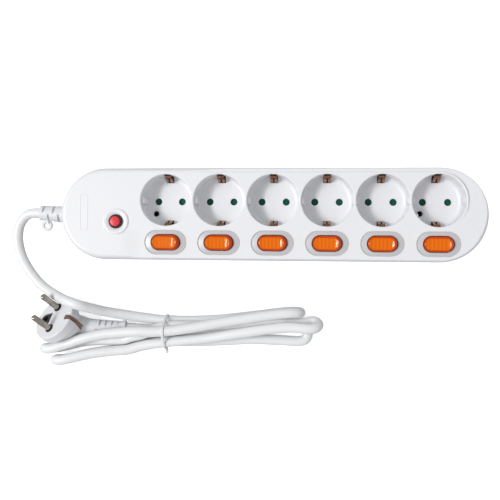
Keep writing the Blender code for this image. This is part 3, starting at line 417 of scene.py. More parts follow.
def build_material(
    name, color, roughness, speck=0.0, grain=0.0, speck_scale=60.0, grain_scale=900.0, **inputs
):
    """A Principled material whose colour, roughness and surface vary a little, as moulded or drawn material does:
    speck is the share of colour change, grain the fine bump's depth in mm. On the earth bronze the strong speck is
    partly tarnish and partly painted highlights."""
    material, shader = new_material(name)
    place = add_node(material, "TexCoord").outputs["Object"]
    clouds = add_node(material, "TexNoise", Scale=speck_scale, Detail=4.0, Vector=place)
    share = clouds.outputs["Fac"]
    dark = (*[c * (1 - speck) for c in color], 1.0)
    light = (*[min(c * (1 + speck), 1.0) for c in color], 1.0)
    tint = mix(material, dark, light, share)
    low, high = max(roughness - 0.06, 0.02), min(roughness + 0.06, 1.0)
    gloss = add_node(material, "MapRange", To_Min=low, To_Max=high, Value=share).outputs["Result"]
    feed(material, shader, Base_Color=tint, Roughness=gloss, Subsurface_Scale=1.0 * MM, **inputs)
    if grain > 0:
        fine = add_node(material, "TexNoise", Scale=grain_scale, Detail=2.0, Vector=place)
        height, depth = fine.outputs["Fac"], grain * MM
        bump = add_node(material, "Bump", Strength=1.0, Distance=depth, Height=height)
        feed(material, shader, Normal=bump.outputs["Normal"])
    return material


def add_wave(material, scale, distortion):
    place = material.node_tree.nodes["Texture Coordinate"].outputs["Object"]
    return add_node(material, "TexWave", Scale=scale, Distortion=distortion, Vector=place)


def recolor(material, output):
    feed(material, material.node_tree.nodes["Principled BSDF"], Base_Color=output)
    return material


def build_rocker_plastic():
    """Translucent orange with faint bars from the ribs inside, and painted shade that makes it deeper towards the
    rim.
    """
    plain = (1.0, 0.2, 0.005)
    material = build_material("rocker", plain, 0.12, grain=0.003, Specular_IOR_Level=0.22)
    bars = add_wave(material, 110.0, 0.6)
    # The third colour is painted shade, laid along the rocker's border by the rim attribute.
    dark, light, painted_rim_shade = (0.71, 0.125, 0.0, 1.0), (0.80, 0.165, 0.0, 1.0), (0.55, 0.05, 0.0, 1.0)
    inside = mix(material, dark, light, bars.outputs["Fac"])
    rim = add_node(material, "Attribute", attribute_name="rim")
    return recolor(material, mix(material, inside, painted_rim_shade, rim.outputs["Fac"]))


def build_striped_wire(name, color, stripe, turns):
    """Wire insulation with a stripe along it."""
    material = build_material(name, color, 0.4, grain=0.01)
    wave = add_wave(material, turns, 0.0)
    ramp = add_node(material, "ValToRGB", Fac=wave.outputs["Color"])
    ramp.color_ramp.interpolation = "CONSTANT"
    first, second = ramp.color_ramp.elements
    first.color, second.color = (*color, 1.0), (*stripe, 1.0)
    second.position = 0.55
    return recolor(material, ramp.outputs["Color"])


METAL = {"Metallic": 1.0}

MATERIALS = {
    "white_housing_plastic": build_material(
        "housing", (0.81, 0.815, 0.84), 0.36, 0.006, 0.012, grain_scale=1400.0,
        Subsurface_Weight=0.04,
    ),
    "grey_bezel_plastic": build_material("bezel", (0.56, 0.555, 0.57), 0.34, 0.01, 0.008),
    "orange_rocker_plastic": build_rocker_plastic(),
    "lamp_glass": build_material(
        "lamp", (1.0, 0.72, 0.35), 0.1, Transmission_Weight=0.3,
        Emission_Color=(1.0, 0.35, 0.05, 1.0), Emission_Strength=0.35,
    ),
    "green_shutter_plastic": build_material(
        "shutter", (0.002, 0.085, 0.045), 0.42, 0.05, 0.01, Specular_IOR_Level=0.2
    ),
    "black_breaker_plastic": build_material("breaker", (0.012, 0.012, 0.013), 0.38, 0.1, 0.01),
    "black_insert_plastic": build_material("insert", (0.02, 0.018, 0.018), 0.5, 0.1, 0.015),
    "red_button_plastic": build_material("button", (0.72, 0.03, 0.045), 0.36, 0.05, 0.02),
    "dark_insulating_plastic": build_material("insulator", (0.03, 0.027, 0.025), 0.6, 0.1, 0.02),
    "brass": build_material("brass", (0.78, 0.54, 0.22), 0.28, 0.08, 0.006, **METAL),
    # The earth bronze is darkened as painted shade for the clips' shadowed grooves, and its strong blotches are
    # partly tarnish, partly painted highlights.
    "earth_bronze": build_material("bronze", (0.30, 0.165, 0.11), 0.24, 1.0, 0.03, 420.0, **METAL),
    "screw_steel": build_material("steel", (0.60, 0.60, 0.62), 0.28, 0.05, 0.006, **METAL),
    "nickel_pin": build_material("nickel", (0.40, 0.36, 0.32), 0.17, 0.15, 0.008, **METAL),
    "white_boot_pvc": build_material(
        "boot", (0.74, 0.75, 0.78), 0.5, 0.02, 0.02, grain_scale=700.0, Subsurface_Weight=0.06
    ),
    "white_plug_pvc": build_material(
        "plug", (0.75, 0.76, 0.79), 0.46, 0.015, 0.015, grain_scale=800.0, Subsurface_Weight=0.06
    ),
    "white_cable_sheath": build_material(
        "sheath", (0.81, 0.82, 0.83), 0.42, 0.012, 0.02, grain_scale=500.0, Subsurface_Weight=0.05
    ),
    "white_tie_plastic": build_material("tie", (0.80, 0.80, 0.80), 0.4, 0.02, 0.02),
    "brown_wire": build_material("brown_core", (0.16, 0.05, 0.015), 0.4, 0.05, 0.01),
    "blue_wire": build_material("blue_core", (0.015, 0.10, 0.46), 0.4, 0.05, 0.01),
    "green_earth_wire": build_striped_wire(
        "green_core", (0.05, 0.32, 0.04), (0.75, 0.62, 0.04), 60.0
    ),
}


def paint_cad_nodes():
    """Every CAD node takes the procedural material of its slot."""
    for node in SLOTS:
        obj = NODES[node]
        paint(obj, node)
        obj.data.shade_smooth()
        obj.data.set_sharp_from_angle(angle=math.radians(32))


# ---- housing


def housing_loft(pairs, steps=48):
    """A loft through outlines of the housing, from (inset, height) pairs."""
    outlines = []
    for inset, z in pairs:
        outline = slot(HOUSING_LENGTH - 2 * inset, HOUSING_WIDTH - 2 * inset, steps)
        outlines.append(level(outline, z))
    return outlines


def deck_height(y):
    return TOP_Z - (DECK_BACK_Y - y) * math.tan(DECK_FALL)


def cover_block():
    """The outside of the cover as one closed block with a rounded shoulder."""
    width, height = SHOULDER
    pairs = [(0.35 * MM, PARTING_Z), (0.0, PARTING_Z + 0.35 * MM)]
    for cos, sin in directions(0, 90, 13):
        pairs.append((width * (1 - cos), TOP_Z - height + height * sin))
    return new_object("top_cover_fine", [housing_loft(pairs)])


def cut_deck(cover):
    """The switch deck falls away in front of a softly rounded crease, fading in from the head."""
    front, above = -HOUSING_WIDTH / 2 - 2 * MM, TOP_Z + 4 * MM
    start, full = DECK_START_X
    places = [*np.linspace(start, full, 13), HOUSING_LENGTH / 2 + 2 * MM]
    rings = []
    for x in places:
        fall = math.tan(DECK_FALL) * max(ease(x, start, full), 0.002)
        bend = 2.4 * MM
        ring = [(x, DECK_BACK_Y + bend, above), (x, DECK_BACK_Y + bend, TOP_Z + 0.002 * MM)]
        for t in np.linspace(0.15, 1, 7):
            y = DECK_BACK_Y + bend - 2 * bend * t
            ring.append((x, y, TOP_Z - fall * bend * t * t))
        ring += [(x, front, TOP_Z - fall * (DECK_BACK_Y - front)), (x, front, above)]
        rings.append(ring)
    cut(cover, [rings])


def ledge_course():
    """(point, outward direction, drop, reach) along the edge of the raised socket panel."""
    course = []
    edge_y = SOCKET_Y + PANEL_RADIUS
    start, full = LEDGE_START_X
    for x in np.linspace(start, SOCKETS[-1].x, 30)[:-1]:
        drop = LEDGE_DROP * max(ease(x, start, full), 0.004)
        course.append((Vector((x, edge_y)), Vector((0, 1)), drop, 8 * MM))
    for angle in np.linspace(90, -66, 79):
        radians = math.radians(angle)
        outward = Vector((math.cos(radians), math.sin(radians)))
        drop = LEDGE_DROP * max(ease(angle, -64, 42), 0.004)
        course.append((SOCKETS[-1].xy + outward * PANEL_RADIUS, outward, drop, 60 * MM))
    return course


def cut_ledge(cover):
    """Lowers the back edge and the right-hand end, leaving the socket panel raised."""
    rings = []
    for point, outward, drop, reach in ledge_course():
        corner = min(0.5 * MM, drop * 0.3)
        section = [(-corner, 4 * MM), (-corner, 0.01 * MM)]
        section += [(-corner * cos, -corner * sin * 0.999) for cos, sin in directions(20, 70, 3)]
        section += [(0.0, -corner), (0.1 * MM, -drop + corner * 0.5), (0.3 * MM, -drop)]
        section += [(reach, -drop), (reach, 4 * MM)]
        rings.append([(*(point + outward * out), TOP_Z + up) for out, up in section])
    cut(cover, [rings])


def well_cutter(x):
    """A round well with a bowl-shaped floor and a rounded mouth."""
    mouth, bowl = mm(0.7, 3.6)
    profile = [(FLOOR_TOP, WELL_RADIUS - bowl)]
    for cos, sin in directions(12, 90, 8):
        profile.append((FLOOR_TOP + bowl * (1 - cos), WELL_RADIUS - bowl * (1 - sin)))
    for cos, sin in directions(0, 90, 6):
        profile.append((TOP_Z - mouth + mouth * sin, WELL_RADIUS + mouth * (1 - cos)))
    profile.append((TOP_Z + 3 * MM, WELL_RADIUS + mouth))
    return column(profile, 96, (x, SOCKET_Y))


def fixing_holes():
    """Where the screws that fix the strip to a wall pass through the first and the last well."""
    first, last = SOCKETS[0], SOCKETS[-1]
    return [(first.x - 11.5 * MM, SOCKET_Y - 9.6 * MM), (last.x - 11.4 * MM, SOCKET_Y - 8.9 * MM)]


def cable_hole():
    """Cuts half of the hole for the lead from each half of the housing."""
    outline = [(y, z + PARTING_Z) for y, z in circle(CABLE_HOLE_RADIUS, 32)]
    end = -HOUSING_LENGTH / 2
    return cross_prism(outline, end - 1 * MM, end + 4 * MM)


def socket_boxes(half, near, far, low, high):
    """A box on each side of every socket, from near to far in Y, measured from its middle."""
    boxes = []
    for socket in SOCKETS:
        for side in (-1, 1):
            front, back = sorted((SOCKET_Y + side * near, SOCKET_Y + side * far))
            boxes.append(box((socket.x - half, front, low), (socket.x + half, back, high)))
    return boxes


def deck_matrix(x):
    middle = Matrix.Translation((x, SWITCH_Y, deck_height(SWITCH_Y)))
    return middle @ Matrix.Rotation(DECK_FALL, 4, "X")


def slot_loft(matrix, pairs):
    """A loft through slot outlines ((length, width), z) in a turned frame."""
    return placed(matrix, [level(slot(*size, 16), z) for size, z in pairs])


def cut_inside(cover):
    """Hollows the cover, leaving the wells and the screw bosses."""
    pairs = [(WALL, PARTING_Z - 1 * MM), (WALL, TOP_Z - SHOULDER[1])]
    pairs.append((SHOULDER[0] + WALL, TOP_Z - COVER_PLATE))
    hollow = new_object("hollow", [housing_loft(pairs, 24)])
    well = WELL_RADIUS + WELL_WALL
    for socket in SOCKETS:
        cut(hollow, [post(well, 48, (socket.x, SOCKET_Y), FLOOR_UNDER, TOP_Z)])
    posts = [post(COVER_BOSS_RADIUS, 24, middle.xy, PARTING_Z, TOP_Z) for middle in SCREWS]
    for socket in SOCKETS:
        posts.append(post(2.0 * MM, 16, socket.xy, FLOOR_UNDER - 2.5 * MM, FLOOR_UNDER + 1 * MM))
    cut(hollow, posts)
    cut_with(cover, hollow)


def well_ribs():
    """The rib on each side of every well that guides a plug."""
    ribs = []
    for socket in SOCKETS:
        for side, reach in RIB_REACHES:
            near, far = sorted((socket.x + side * reach, socket.x + side * 20.4 * MM))
            low, high = (near, SOCKET_Y - RIB_HALF_WIDTH), (far, SOCKET_Y + RIB_HALF_WIDTH)
            outline = rounded_rectangle(low, high, 0.5 * MM, 3)
            ribs.append(prism(outline, FLOOR_UNDER + 0.5 * MM, RIB_TOP))
    return ribs


def cover_holes():
    """The holes for pins, wall screws and cover screws, and the one for the breaker's collar."""
    edge = PIN_HOLE_RADIUS + 0.15 * MM
    profile = [(FLOOR_UNDER - 1 * MM, PIN_HOLE_RADIUS), (FLOOR_TOP - 0.2 * MM, PIN_HOLE_RADIUS)]
    profile += [(FLOOR_TOP + 0.01 * MM, edge), (FLOOR_TOP + 1 * MM, PIN_HOLE_RADIUS + 0.3 * MM)]
    holes = []
    for socket in SOCKETS:
        for side in (-1, 1):
            holes.append(column(profile, 32, (socket.x + side * PIN_OFFSET, SOCKET_Y)))
    shank, head = FIXING_HOLE_RADIUS, 3.3 * MM
    profile = [(FLOOR_UNDER - 1 * MM, shank), (FLOOR_TOP - 1.3 * MM, shank)]
    profile += [(FLOOR_TOP - 0.1 * MM, head), (FLOOR_TOP + 1 * MM, head)]
    holes += [column(profile, 32, centre) for centre in fixing_holes()]
    low, high = PARTING_Z - 1 * MM, 30 * MM
    holes += [post(COVER_BOSS_BORE, 16, middle.xy, low, high) for middle in SCREWS]
    return [*holes, post(COLLAR_RADIUS + GAP, 48, BREAKER, 30 * MM, 45 * MM)]


def switch_openings():
    """A hole for each switch body, with a shallow recess for its bezel."""
    hole, recess = ((size[0] + 2 * GAP, size[1] + 2 * GAP) for size in (SWITCH_BODY, BEZEL))
    lip = (recess[0] + 0.5 * MM, recess[1] + 0.5 * MM)
    seat = -1.2 * MM
    pairs = [(hole, -8 * MM), (hole, seat), (recess, seat), (recess, -0.25 * MM)]
    pairs += [(lip, 0.02 * MM), (lip, 6 * MM)]
    return [slot_loft(deck_matrix(pivot.x), pairs) for pivot in ROCKER_PIVOTS]


def breaker_ring():
    """The raised ring round the breaker's collar, moulded on the cover."""
    bore, radius, rise = COLLAR_RADIUS + GAP, BREAKER_RING_RADIUS, 1.1 * MM
    section = [(-0.5 * MM, bore), (-0.5 * MM, radius)]
    for cos, sin in directions(0, 90, 6):
        section.append((0.1 * MM + 1.0 * MM * sin, radius - rise * (1 - cos)))
    section += [(rise, radius - 2.6 * MM), (0.5 * MM, bore + 0.9 * MM), (0.35 * MM, bore)]
    return hoop(column([(TOP_Z + z, size) for z, size in section], 64, BREAKER))


def build_top_cover():
    cover = cover_block()
    cut_deck(cover)
    cut_ledge(cover)
    cut_inside(cover)
    cut(cover, [well_cutter(socket.x) for socket in SOCKETS])
    join(cover, well_ribs())
    # Grooves for the earth clips, then windows in the well walls behind them
    half = EARTH_WIDTH / 2 + GAP
    groove_low, groove_high = FLOOR_UNDER - 1 * MM, TOP_Z - 0.9 * MM
    cut(cover, socket_boxes(half, *CLIP_GROOVE, groove_low, groove_high))
    window_high = TOP_Z - COVER_PLATE - 0.3 * MM
    cut(cover, socket_boxes(half, *CLIP_WINDOW, 24 * MM, window_high))
    cut(cover, cover_holes())
    cut(cover, [*switch_openings(), cable_hole()])
    join(cover, [breaker_ring()])
    add_badge(cover)
    finish_piece(cover)


def add_badge(cover):
    """A faint raised capsule on the head, left blank."""
    middle = Matrix.Translation((*mm(-144.2, 0.5), TOP_Z))
    turned = middle @ Matrix.Rotation(math.pi / 2, 4, "Z")
    rise = 0.22 * MM
    size, crown, rim, floor = ((30.4 * MM - less, 7.0 * MM - less) for less in BADGE_STEPS)
    join(cover, [slot_loft(turned, [(size, -0.4 * MM), (size, 0.02 * MM), (crown, rise)])])
    cut(cover, [slot_loft(turned, [(floor, 0.03 * MM), (rim, rise + 0.3 * MM)])])


def build_base():
    bevel, top, seat = 1.5 * MM, PARTING_Z - GAP, 8.3 * MM
    pairs = [(bevel, 0.0)]
    pairs += [(bevel * (1 - sin), bevel * (1 - cos)) for cos, sin in directions(22.5, 90, 4)]
    pairs += [(0.0, top - 0.3 * MM), (0.3 * MM, top), (WALL, top), (WALL, BASE_PLATE)]
    base = new_object("base_shell_fine", [housing_loft(pairs)])
    low = BASE_PLATE / 2
    join(base, [post(BASE_BOSS_RADIUS, 32, middle.xy, low, top) for middle in SCREWS])

    head, shank = mm(3.2, 1.7)
    profile = [(-1 * MM, head), (seat, head), (seat, shank), (top + 1 * MM, shank)]
    holes = [column(profile, 32, middle.xy) for middle in SCREWS]
    for centre in fixing_holes():
        holes.append(post(FIXING_HOLE_RADIUS, 32, centre, -1 * MM, BASE_PLATE + 1 * MM))
    cut(base, [*holes, cable_hole()])
    # A shallow groove round the underside
    pairs = in_mm([(12, -0.5), (12, 0.4), (13, 0.4), (13, -0.5)])
    cut(base, [hoop(housing_loft(pairs, 32))])
    finish_piece(base)


def build_screws():
    """Pan-head screws with a cross recess, seen from below."""
    profile = [(6.0, 1.6), (6.1, 2.2), (6.5, 2.6), (6.9, 2.7), (8.0, 2.7), (8.0, 1.2)]
    for thread in np.arange(9.0, 24.0, 0.6):
        profile += [(thread, 1.15), (thread + 0.3, 1.45)]
    profile += [(24.2, 1.1), (26.0, 0.3)]
    for number, middle in enumerate(SCREWS, 1):
        screw = new_object(f"cover_screw_fine_{number}", [column(in_mm(profile), 20)])
        for x, y in ((1.5, 0.32), (0.32, 1.5)):
            cut(screw, [box(mm(-x, -y, 5.0), mm(x, y, 7.2))])
        screw.data.transform(Matrix.Translation((middle.x, middle.y, 0)))
        finish_piece(screw)


def build_earth_busbar():
    """The bar under the wells, with a strap for each socket whose sprung ends stand in its well."""
    knots = [(17.9, 15.5), (19.3, 15.5), (20.3, 16.3), (20.45, 18.5), (20.45, 25), (20.2, 29.6)]
    knots += [(19.2, 31.2), (17.9, 30.6), (16.6, 28.0), (15.7, 25.2), (15.5, 23.0), (16.1, 20.8)]
    knots += [(16.9, 18.6), (17.0, 17.0), (17.0, 15.4), (16.8, 14.3), (16.3, 13.9)]
    course = [(point.x, point.y) for point in smooth_path([(*knot, 0) for knot in knots], 3)]
    course.append((15.0, 13.8))
    points = [(SOCKET_Y + r * MM, z * MM) for r, z in course]
    points += [(SOCKET_Y - r * MM, z * MM) for r, z in reversed(course)]
    straps = [strip(points, 0.6 * MM, EARTH_WIDTH, socket.x) for socket in SOCKETS]
    earth = new_object("earth_busbar_fine", straps)
    cut(earth, socket_boxes(*mm(0.6, 15.0, 19.7, 19.0, 30.2)))
    bar_end, bar_start = SOCKETS[-1].x + 3 * MM, SOCKETS[0].x - 24.5 * MM
    join(earth, [box((bar_start, *mm(-11.0, 13.4)), (bar_end, *mm(-6.4, 14.2)))])
    finish_piece(earth)


# ---- switches


def build_bezels():
    """The grey surround of each switch, with softened edges, and the cup below it."""
    floor_low, flange_low, edge = -SWITCH_DEPTH, BEZEL_TOP - 0.95 * MM, 0.25 * MM
    crest, rise, lip = BEZEL_TOP + 0.2 * MM, 0.8 * MM, 0.5 * MM
    # (outline, inset, height)
    levels = [(SWITCH_BODY, 0.0, floor_low), (SWITCH_BODY, 0.0, flange_low)]
    levels.append((BEZEL, 0.0, flange_low))
    for cos, sin in directions(0, 90, 5):
        levels.append((BEZEL, edge * (1 - cos), crest - rise - edge + edge * sin))
    for cos, sin in directions(90, 0, 5):
        levels.append((SWITCH_OPENING, -lip * (1 - cos), crest - lip * (1 - sin)))
    levels.append((SWITCH_OPENING, 0.0, floor_low + 1.2 * MM))
    rings = []
    for (length, width), inset, z in levels:
        rings.append(level(slot(length - 2 * inset, width - 2 * inset, 24), z))
    windows, low, high = [], floor_low - 1 * MM, floor_low + 2 * MM
    for x in (0.0, PIN_OFFSET - 2.6 * MM):
        windows.append(box((x - 0.8 * MM, -3 * MM, low), (x + 0.8 * MM, 3 * MM, high)))
    for number, pivot in enumerate(ROCKER_PIVOTS, 1):
        bezel = new_object(f"switch_bezel_fine_{number}", [rings])
        cut(bezel, windows)
        bezel.data.transform(deck_matrix(pivot.x))
        finish_piece(bezel)


def rocker_matrix(x):
    pivot = Matrix.Translation((0, 0, ROCKER_PIVOT))
    return deck_matrix(x) @ pivot @ Matrix.Rotation(ROCKER_TILT, 4, "Y")


def rocker_top(x):
    """Height of the rocker's top above its pivot: a shallow hollow that turns up at both ends."""
    sag, rise, start = mm(0.35, 1.05, 5.2)
    top_half = math.sqrt((ROCKER[0] / 2) ** 2 - ROCKER_HEIGHT**2)
    share = min(abs(x) / top_half, 1.0)
    turned_up = max(abs(x) - start, 0.0) / (top_half - start)
    return ROCKER_HEIGHT - sag * (1 - share**2) - rise * (1 - min(turned_up, 1.0) ** 2)


def rocker_ring(inset, share, drop=0.0):
    """A ring of the rocker. Share runs from 0 at the skirt to 1 at the top, and the ends bulge
    about the pivot, so that they clear the opening at every angle."""
    half, skirt = ROCKER[0] / 2, -3.0 * MM
    top_scale = math.sqrt(1 - (ROCKER_HEIGHT / half) ** 2)
    ring = []
    for x, y in slot(ROCKER[0] - 2 * inset, ROCKER[1] - 2 * inset, 20):
        crown = 0.55 * MM * (2 * y / ROCKER[1]) ** 2
        top = rocker_top(x * top_scale) - crown - drop
        z = skirt + (top - skirt) * share
        ring.append((x * math.sqrt(1 - (z / half) ** 2), y, z))
    return ring


def mark_painted_rim_shade(rocker, to_local):
    """A point attribute that is 1 at the outline of the rocker and fades to 0 further in: the mask for the painted
    shade along the rocker's border.
    """
    half_width = ROCKER[1] / 2
    reach = ROCKER[0] / 2 - half_width
    rim = rocker.data.attributes.new("rim", "FLOAT", "POINT")
    for vertex, value in zip(rocker.data.vertices, rim.data):
        point = to_local @ vertex.co
        from_middle = math.hypot(max(abs(point.x) - reach, 0.0), point.y)
        value.value = ease(from_middle, half_width - 2.1 * MM, half_width - 0.9 * MM)


def build_rockers():
    """Translucent rockers: a hollow shell with a dished top, rounded rim and leg for the blade."""
    edge, wall, ceiling = mm(1.5, 1.3, 1.2)
    rings = [rocker_ring(inset * MM, 1.0, ceiling) for inset in (5.9, 4.8, 3.4, 2.0)]
    rings += [rocker_ring(wall, share) for share in (0.8, 0.4, 0.0)]
    rings += [rocker_ring(0.0, share) for share in np.linspace(0.0, 0.7, 6)]
    for cos, sin in directions(0, 90, 7):
        rings.append(rocker_ring(edge * (1 - cos), 1.0, edge * (1 - sin)))
    rings += [rocker_ring(inset * MM, 1.0) for inset in (1.9, 2.6, 3.6, 4.6, 5.2)]
    leg = box(mm(-1.1, 3.2, -8.4), mm(1.1, 5.2, -1.0))
    for number, pivot in enumerate(ROCKER_PIVOTS, 1):
        rocker = new_object(f"rocker_fine_{number}", [rings])
        join(rocker, [leg])
        rocker.data.transform(rocker_matrix(pivot.x))
        finish_piece(rocker, f"rocker_{number}_body", 40)
        mark_painted_rim_shade(rocker, rocker_matrix(pivot.x).inverted())


def build_lamps():
    """Small glass lamps in the hollows of the rockers."""
    radius, half = mm(1.8, 4.5)
    profile = [(-half, 0.3 * MM)]
    for cos, sin in [*directions(20, 80, 4), (0.0, 1.0)]:
        profile.append((-half + radius * (1 - cos), radius * sin))
    profile += [(-along, size) for along, size in reversed(profile)]
    for number, pivot in enumerate(ROCKER_PIVOTS, 1):
        matrix = rocker_matrix(pivot.x)
        lamp = new_object(f"neon_lamp_fine_{number}", [bar(profile, 24)], matrix)
        finish_piece(lamp, f"rocker_{number}_body")


# ---- breaker


def build_breaker():
    """The breaker box under the head, with its collar through the cover."""
    half_x, half_y = mm(12, 7.5)
    low, high = 16 * MM, TOP_Z - COVER_PLATE - GAP
    collar_top, edge = mm(42.2, 0.35)
    near, far = BREAKER.x - half_x, BREAKER.x + half_x
    outline = rounded_rectangle((near, BREAKER.y - half_y), (far, BREAKER.y + half_y), 1.2 * MM)
    body = new_object("breaker_body_fine", [prism(outline, low, high)])
    profile = [(high - 1 * MM, COLLAR_RADIUS), (collar_top - edge, COLLAR_RADIUS)]
    profile.append((collar_top - edge * 0.3, COLLAR_RADIUS - edge * 0.3))
    profile.append((collar_top, COLLAR_RADIUS - edge))
    join(body, [column(profile, 64, BREAKER)])
    bore = BUTTON_RADIUS + GAP
    profile = [(21 * MM, bore), (collar_top - 0.3 * MM, bore)]
    profile.append((collar_top + 0.7 * MM, bore + 0.7 * MM))
    cut(body, [column(profile, 64, BREAKER)])
    finish_piece(body)


def build_reset_button():
    """A round button with a rounded edge and a slightly domed top."""
    top, edge = BUTTON_HIGH.z - 0.3 * MM, 0.9 * MM
    profile = [(BUTTON_LOW.z, BUTTON_RADIUS)]
    for cos, sin in directions(0, 90, 8):
        profile.append((top - edge + edge * sin, BUTTON_RADIUS - edge * (1 - cos)))
    for dome, radius in in_mm([(0.14, 2.2), (0.24, 1.2), (0.27, 0.4)]):
        profile.append((top + dome, radius))
    button = new_object("breaker_reset_button_fine", [column(profile, 64, BREAKER)])
    finish_piece(button, "reset_button_body", 50)


# ---- lead


def side_slot(place, lean, half_width, depth):
    """A box across a round lead part, for a slot in its side. The lean is from straight up."""
    turned = place @ Matrix.Rotation(math.radians(lean), 4, "X")
    half_span, reach = mm(5.2, 9)
    outline = rectangle((-half_width, -half_span), (half_width, half_span))
    return placed(turned, prism(outline, depth, reach))


def build_boot():
    """The flexible boot on the lead: a flange, a slotted cone and a hanging eye."""
    end = Matrix.Translation((-HOUSING_LENGTH / 2, 0, PARTING_Z))
    profile = [(-6.8, 8.0), (-6.4, 8.4), (-4.8, 8.4), (-4.4, 8.0), (-4.4, 6.4), (0.9, 6.4)]
    profile += [(0.9, 6.6), (1.3, 6.9), (5.0, 6.78), (22.0, 6.1), (24.9, 6.1), (25.3, 5.9)]
    profile.append((25.5, 5.5))
    boot = new_object("lead_boot_fine", [bar(in_mm(profile), 48)])
    eye = mm(19.6, 10.0)
    hole, half, edge = mm(1.9, 1.5, 0.4)
    outer, flare = BOOT_EYE_RADIUS, hole + edge + half
    profile = [(-half, outer - edge), (edge - half, outer), (half - edge, outer)]
    join(boot, [column([*profile, (half, outer - edge)], 40, eye)])
    cut(boot, [bar([(-8 * MM, BOOT_BORE), (28 * MM, BOOT_BORE)], 48)])
    profile = [(-2 * half, flare), (-half + edge, hole), (half - edge, hole), (2 * half, flare)]
    cut(boot, [column(profile, 32, eye)])
    slots = []
    for x, lean in ((4.3, 40), (8.5, -45), (13.2, 40), (17.2, -45), (21.6, 40)):
        for side in (0, 180):
            place = Matrix.Translation((x * MM, 0, 0))
            slots.append(side_slot(place, lean + side, 1.0 * MM, BOOT_SLOT_DEPTH))
    cut(boot, slots)
    boot.data.transform(end @ Matrix.Rotation(BOOT_YAW, 4, "Z"))
    finish_piece(boot)


def turn(centre, radius, lean, start, stop):
    """Knots round a U-turn of the lead. A lean of 0 stands it upright, and 90 lays it flat."""
    lean = math.radians(lean)
    knots = []
    for cos, sin in directions(start, stop, 5):
        across = radius * sin
        offset = Vector((radius * cos, across * math.sin(lean), across * math.cos(lean)))
        knots.append(Vector(centre) + offset)
    return knots


def lead_strands():
    """The course of the lead in millimetres: six strands lie side by side in the bundle, numbered
    from the housing to the plug, with a U-turn between each and the next."""
    floor, raised = 4.4, 5.6
    leaving = [(-149.5, -0.9, 14), (-157, -0.45, 14), (-173, 0.66, 14), (-187, 1.65, 14)]
    leaving += [(-200, 0.4, 13.5), (-207, -7, 12.5), (-209.4, -18, 11.5), (-207.2, -31, 11)]
    leaving += [(-200.4, -44, 11.5), (-187, -58, 14.5), (-171.4, -66.3, 20.3), (-159.4, -70, 27.6)]
    leaving += [(-151.5, -72.4, 28.4), (-142.6, -75.4, 22), (-132, -78.6, 14), (-118.6, -81.2, 8.8)]
    first = [(-104, -83.4, 6.2), (-86, -85.2, raised), (-50, -84.6, floor), (-15, -80.6, floor)]
    first.append((8, -77.4, floor))
    right_first = turn((16.8, -76.6, 11.5), 7.1, 0, -90, 90)
    second = [(4, -77.8, 19.2), (-37, -84.6, 20.2), (-62, -89.4, 21), (-86, -92.8, 21.4)]
    second += [(-104, -92.9, 21.8), (-116, -93.9, 21), (-134, -95.9, 19.8), (-152, -100.3, 19.2)]
    second.append((-164, -104.4, 17.6))
    left_first = turn((-179, -109.4, 10.6), 6.2, 4, 90, 270)
    third = [(-166, -106.8, floor), (-157, -104.4, 5.6), (-148, -102.8, 8.6), (-138, -101.8, 10.3)]
    third += [(-127, -101.5, 10.6), (-118.6, -100.9, 10.8), (-112, -98.4, 12.4)]
    third += [(-104, -96.4, 13.5), (-96, -93.4, 13.8), (-86, -89.6, 13.5), (-50, -88.4, 12.2)]
    third += [(-28, -86.6, 11.8), (0, -84.2, 11.8), (14, -85.4, 12.4), (26, -85.0, 12.2)]
    right_second = turn((32, -85.8, 16.2), 6.2, -24, -70, 90)
    fourth = [(18, -87.6, 21.2), (5, -88.6, 20.4), (-28, -94.0, 18), (-50, -98.0, 15.4)]
    fourth += [(-86, -102.3, 14.2), (-104, -105.6, 13.2), (-115, -108.8, 13.4)]
    fourth += [(-127, -110.0, 13.8), (-146, -112.6, 15.4)]
    left_second = turn((-170, -118.6, 10.4), 6.0, 4, 90, 270)
    fifth = [(-150, -114.0, floor), (-127, -110.0, floor), (-106, -105.0, floor)]
    fifth += [(-86, -102.4, raised), (-50, -101.6, floor), (-15, -99.4, floor), (8, -99.8, floor)]
    right_third = turn((24, -94.2, floor), 5.9, -90, -90, 90)
    sixth = [(8, -88.3, floor), (-15, -89.6, floor), (-50, -93.0, floor), (-86, -93.8, raised)]
    sixth += [(-104, -92.6, 5.6), (-114, -92.1, 6.0), (-121.5, -91.7, 6.8)]
    outward = leaving + first + right_first + second + left_first + third + right_second
    return outward + fourth + left_second + fifth + right_third[::-1] + sixth


def build_cable():
    path = smooth_path([Vector(knot) * MM for knot in lead_strands()], 8)
    cable = new_object("power_cable_fine", [tube(path, CABLE_RADIUS, 24)])
    finish_piece(cable, angle=60)
    return path


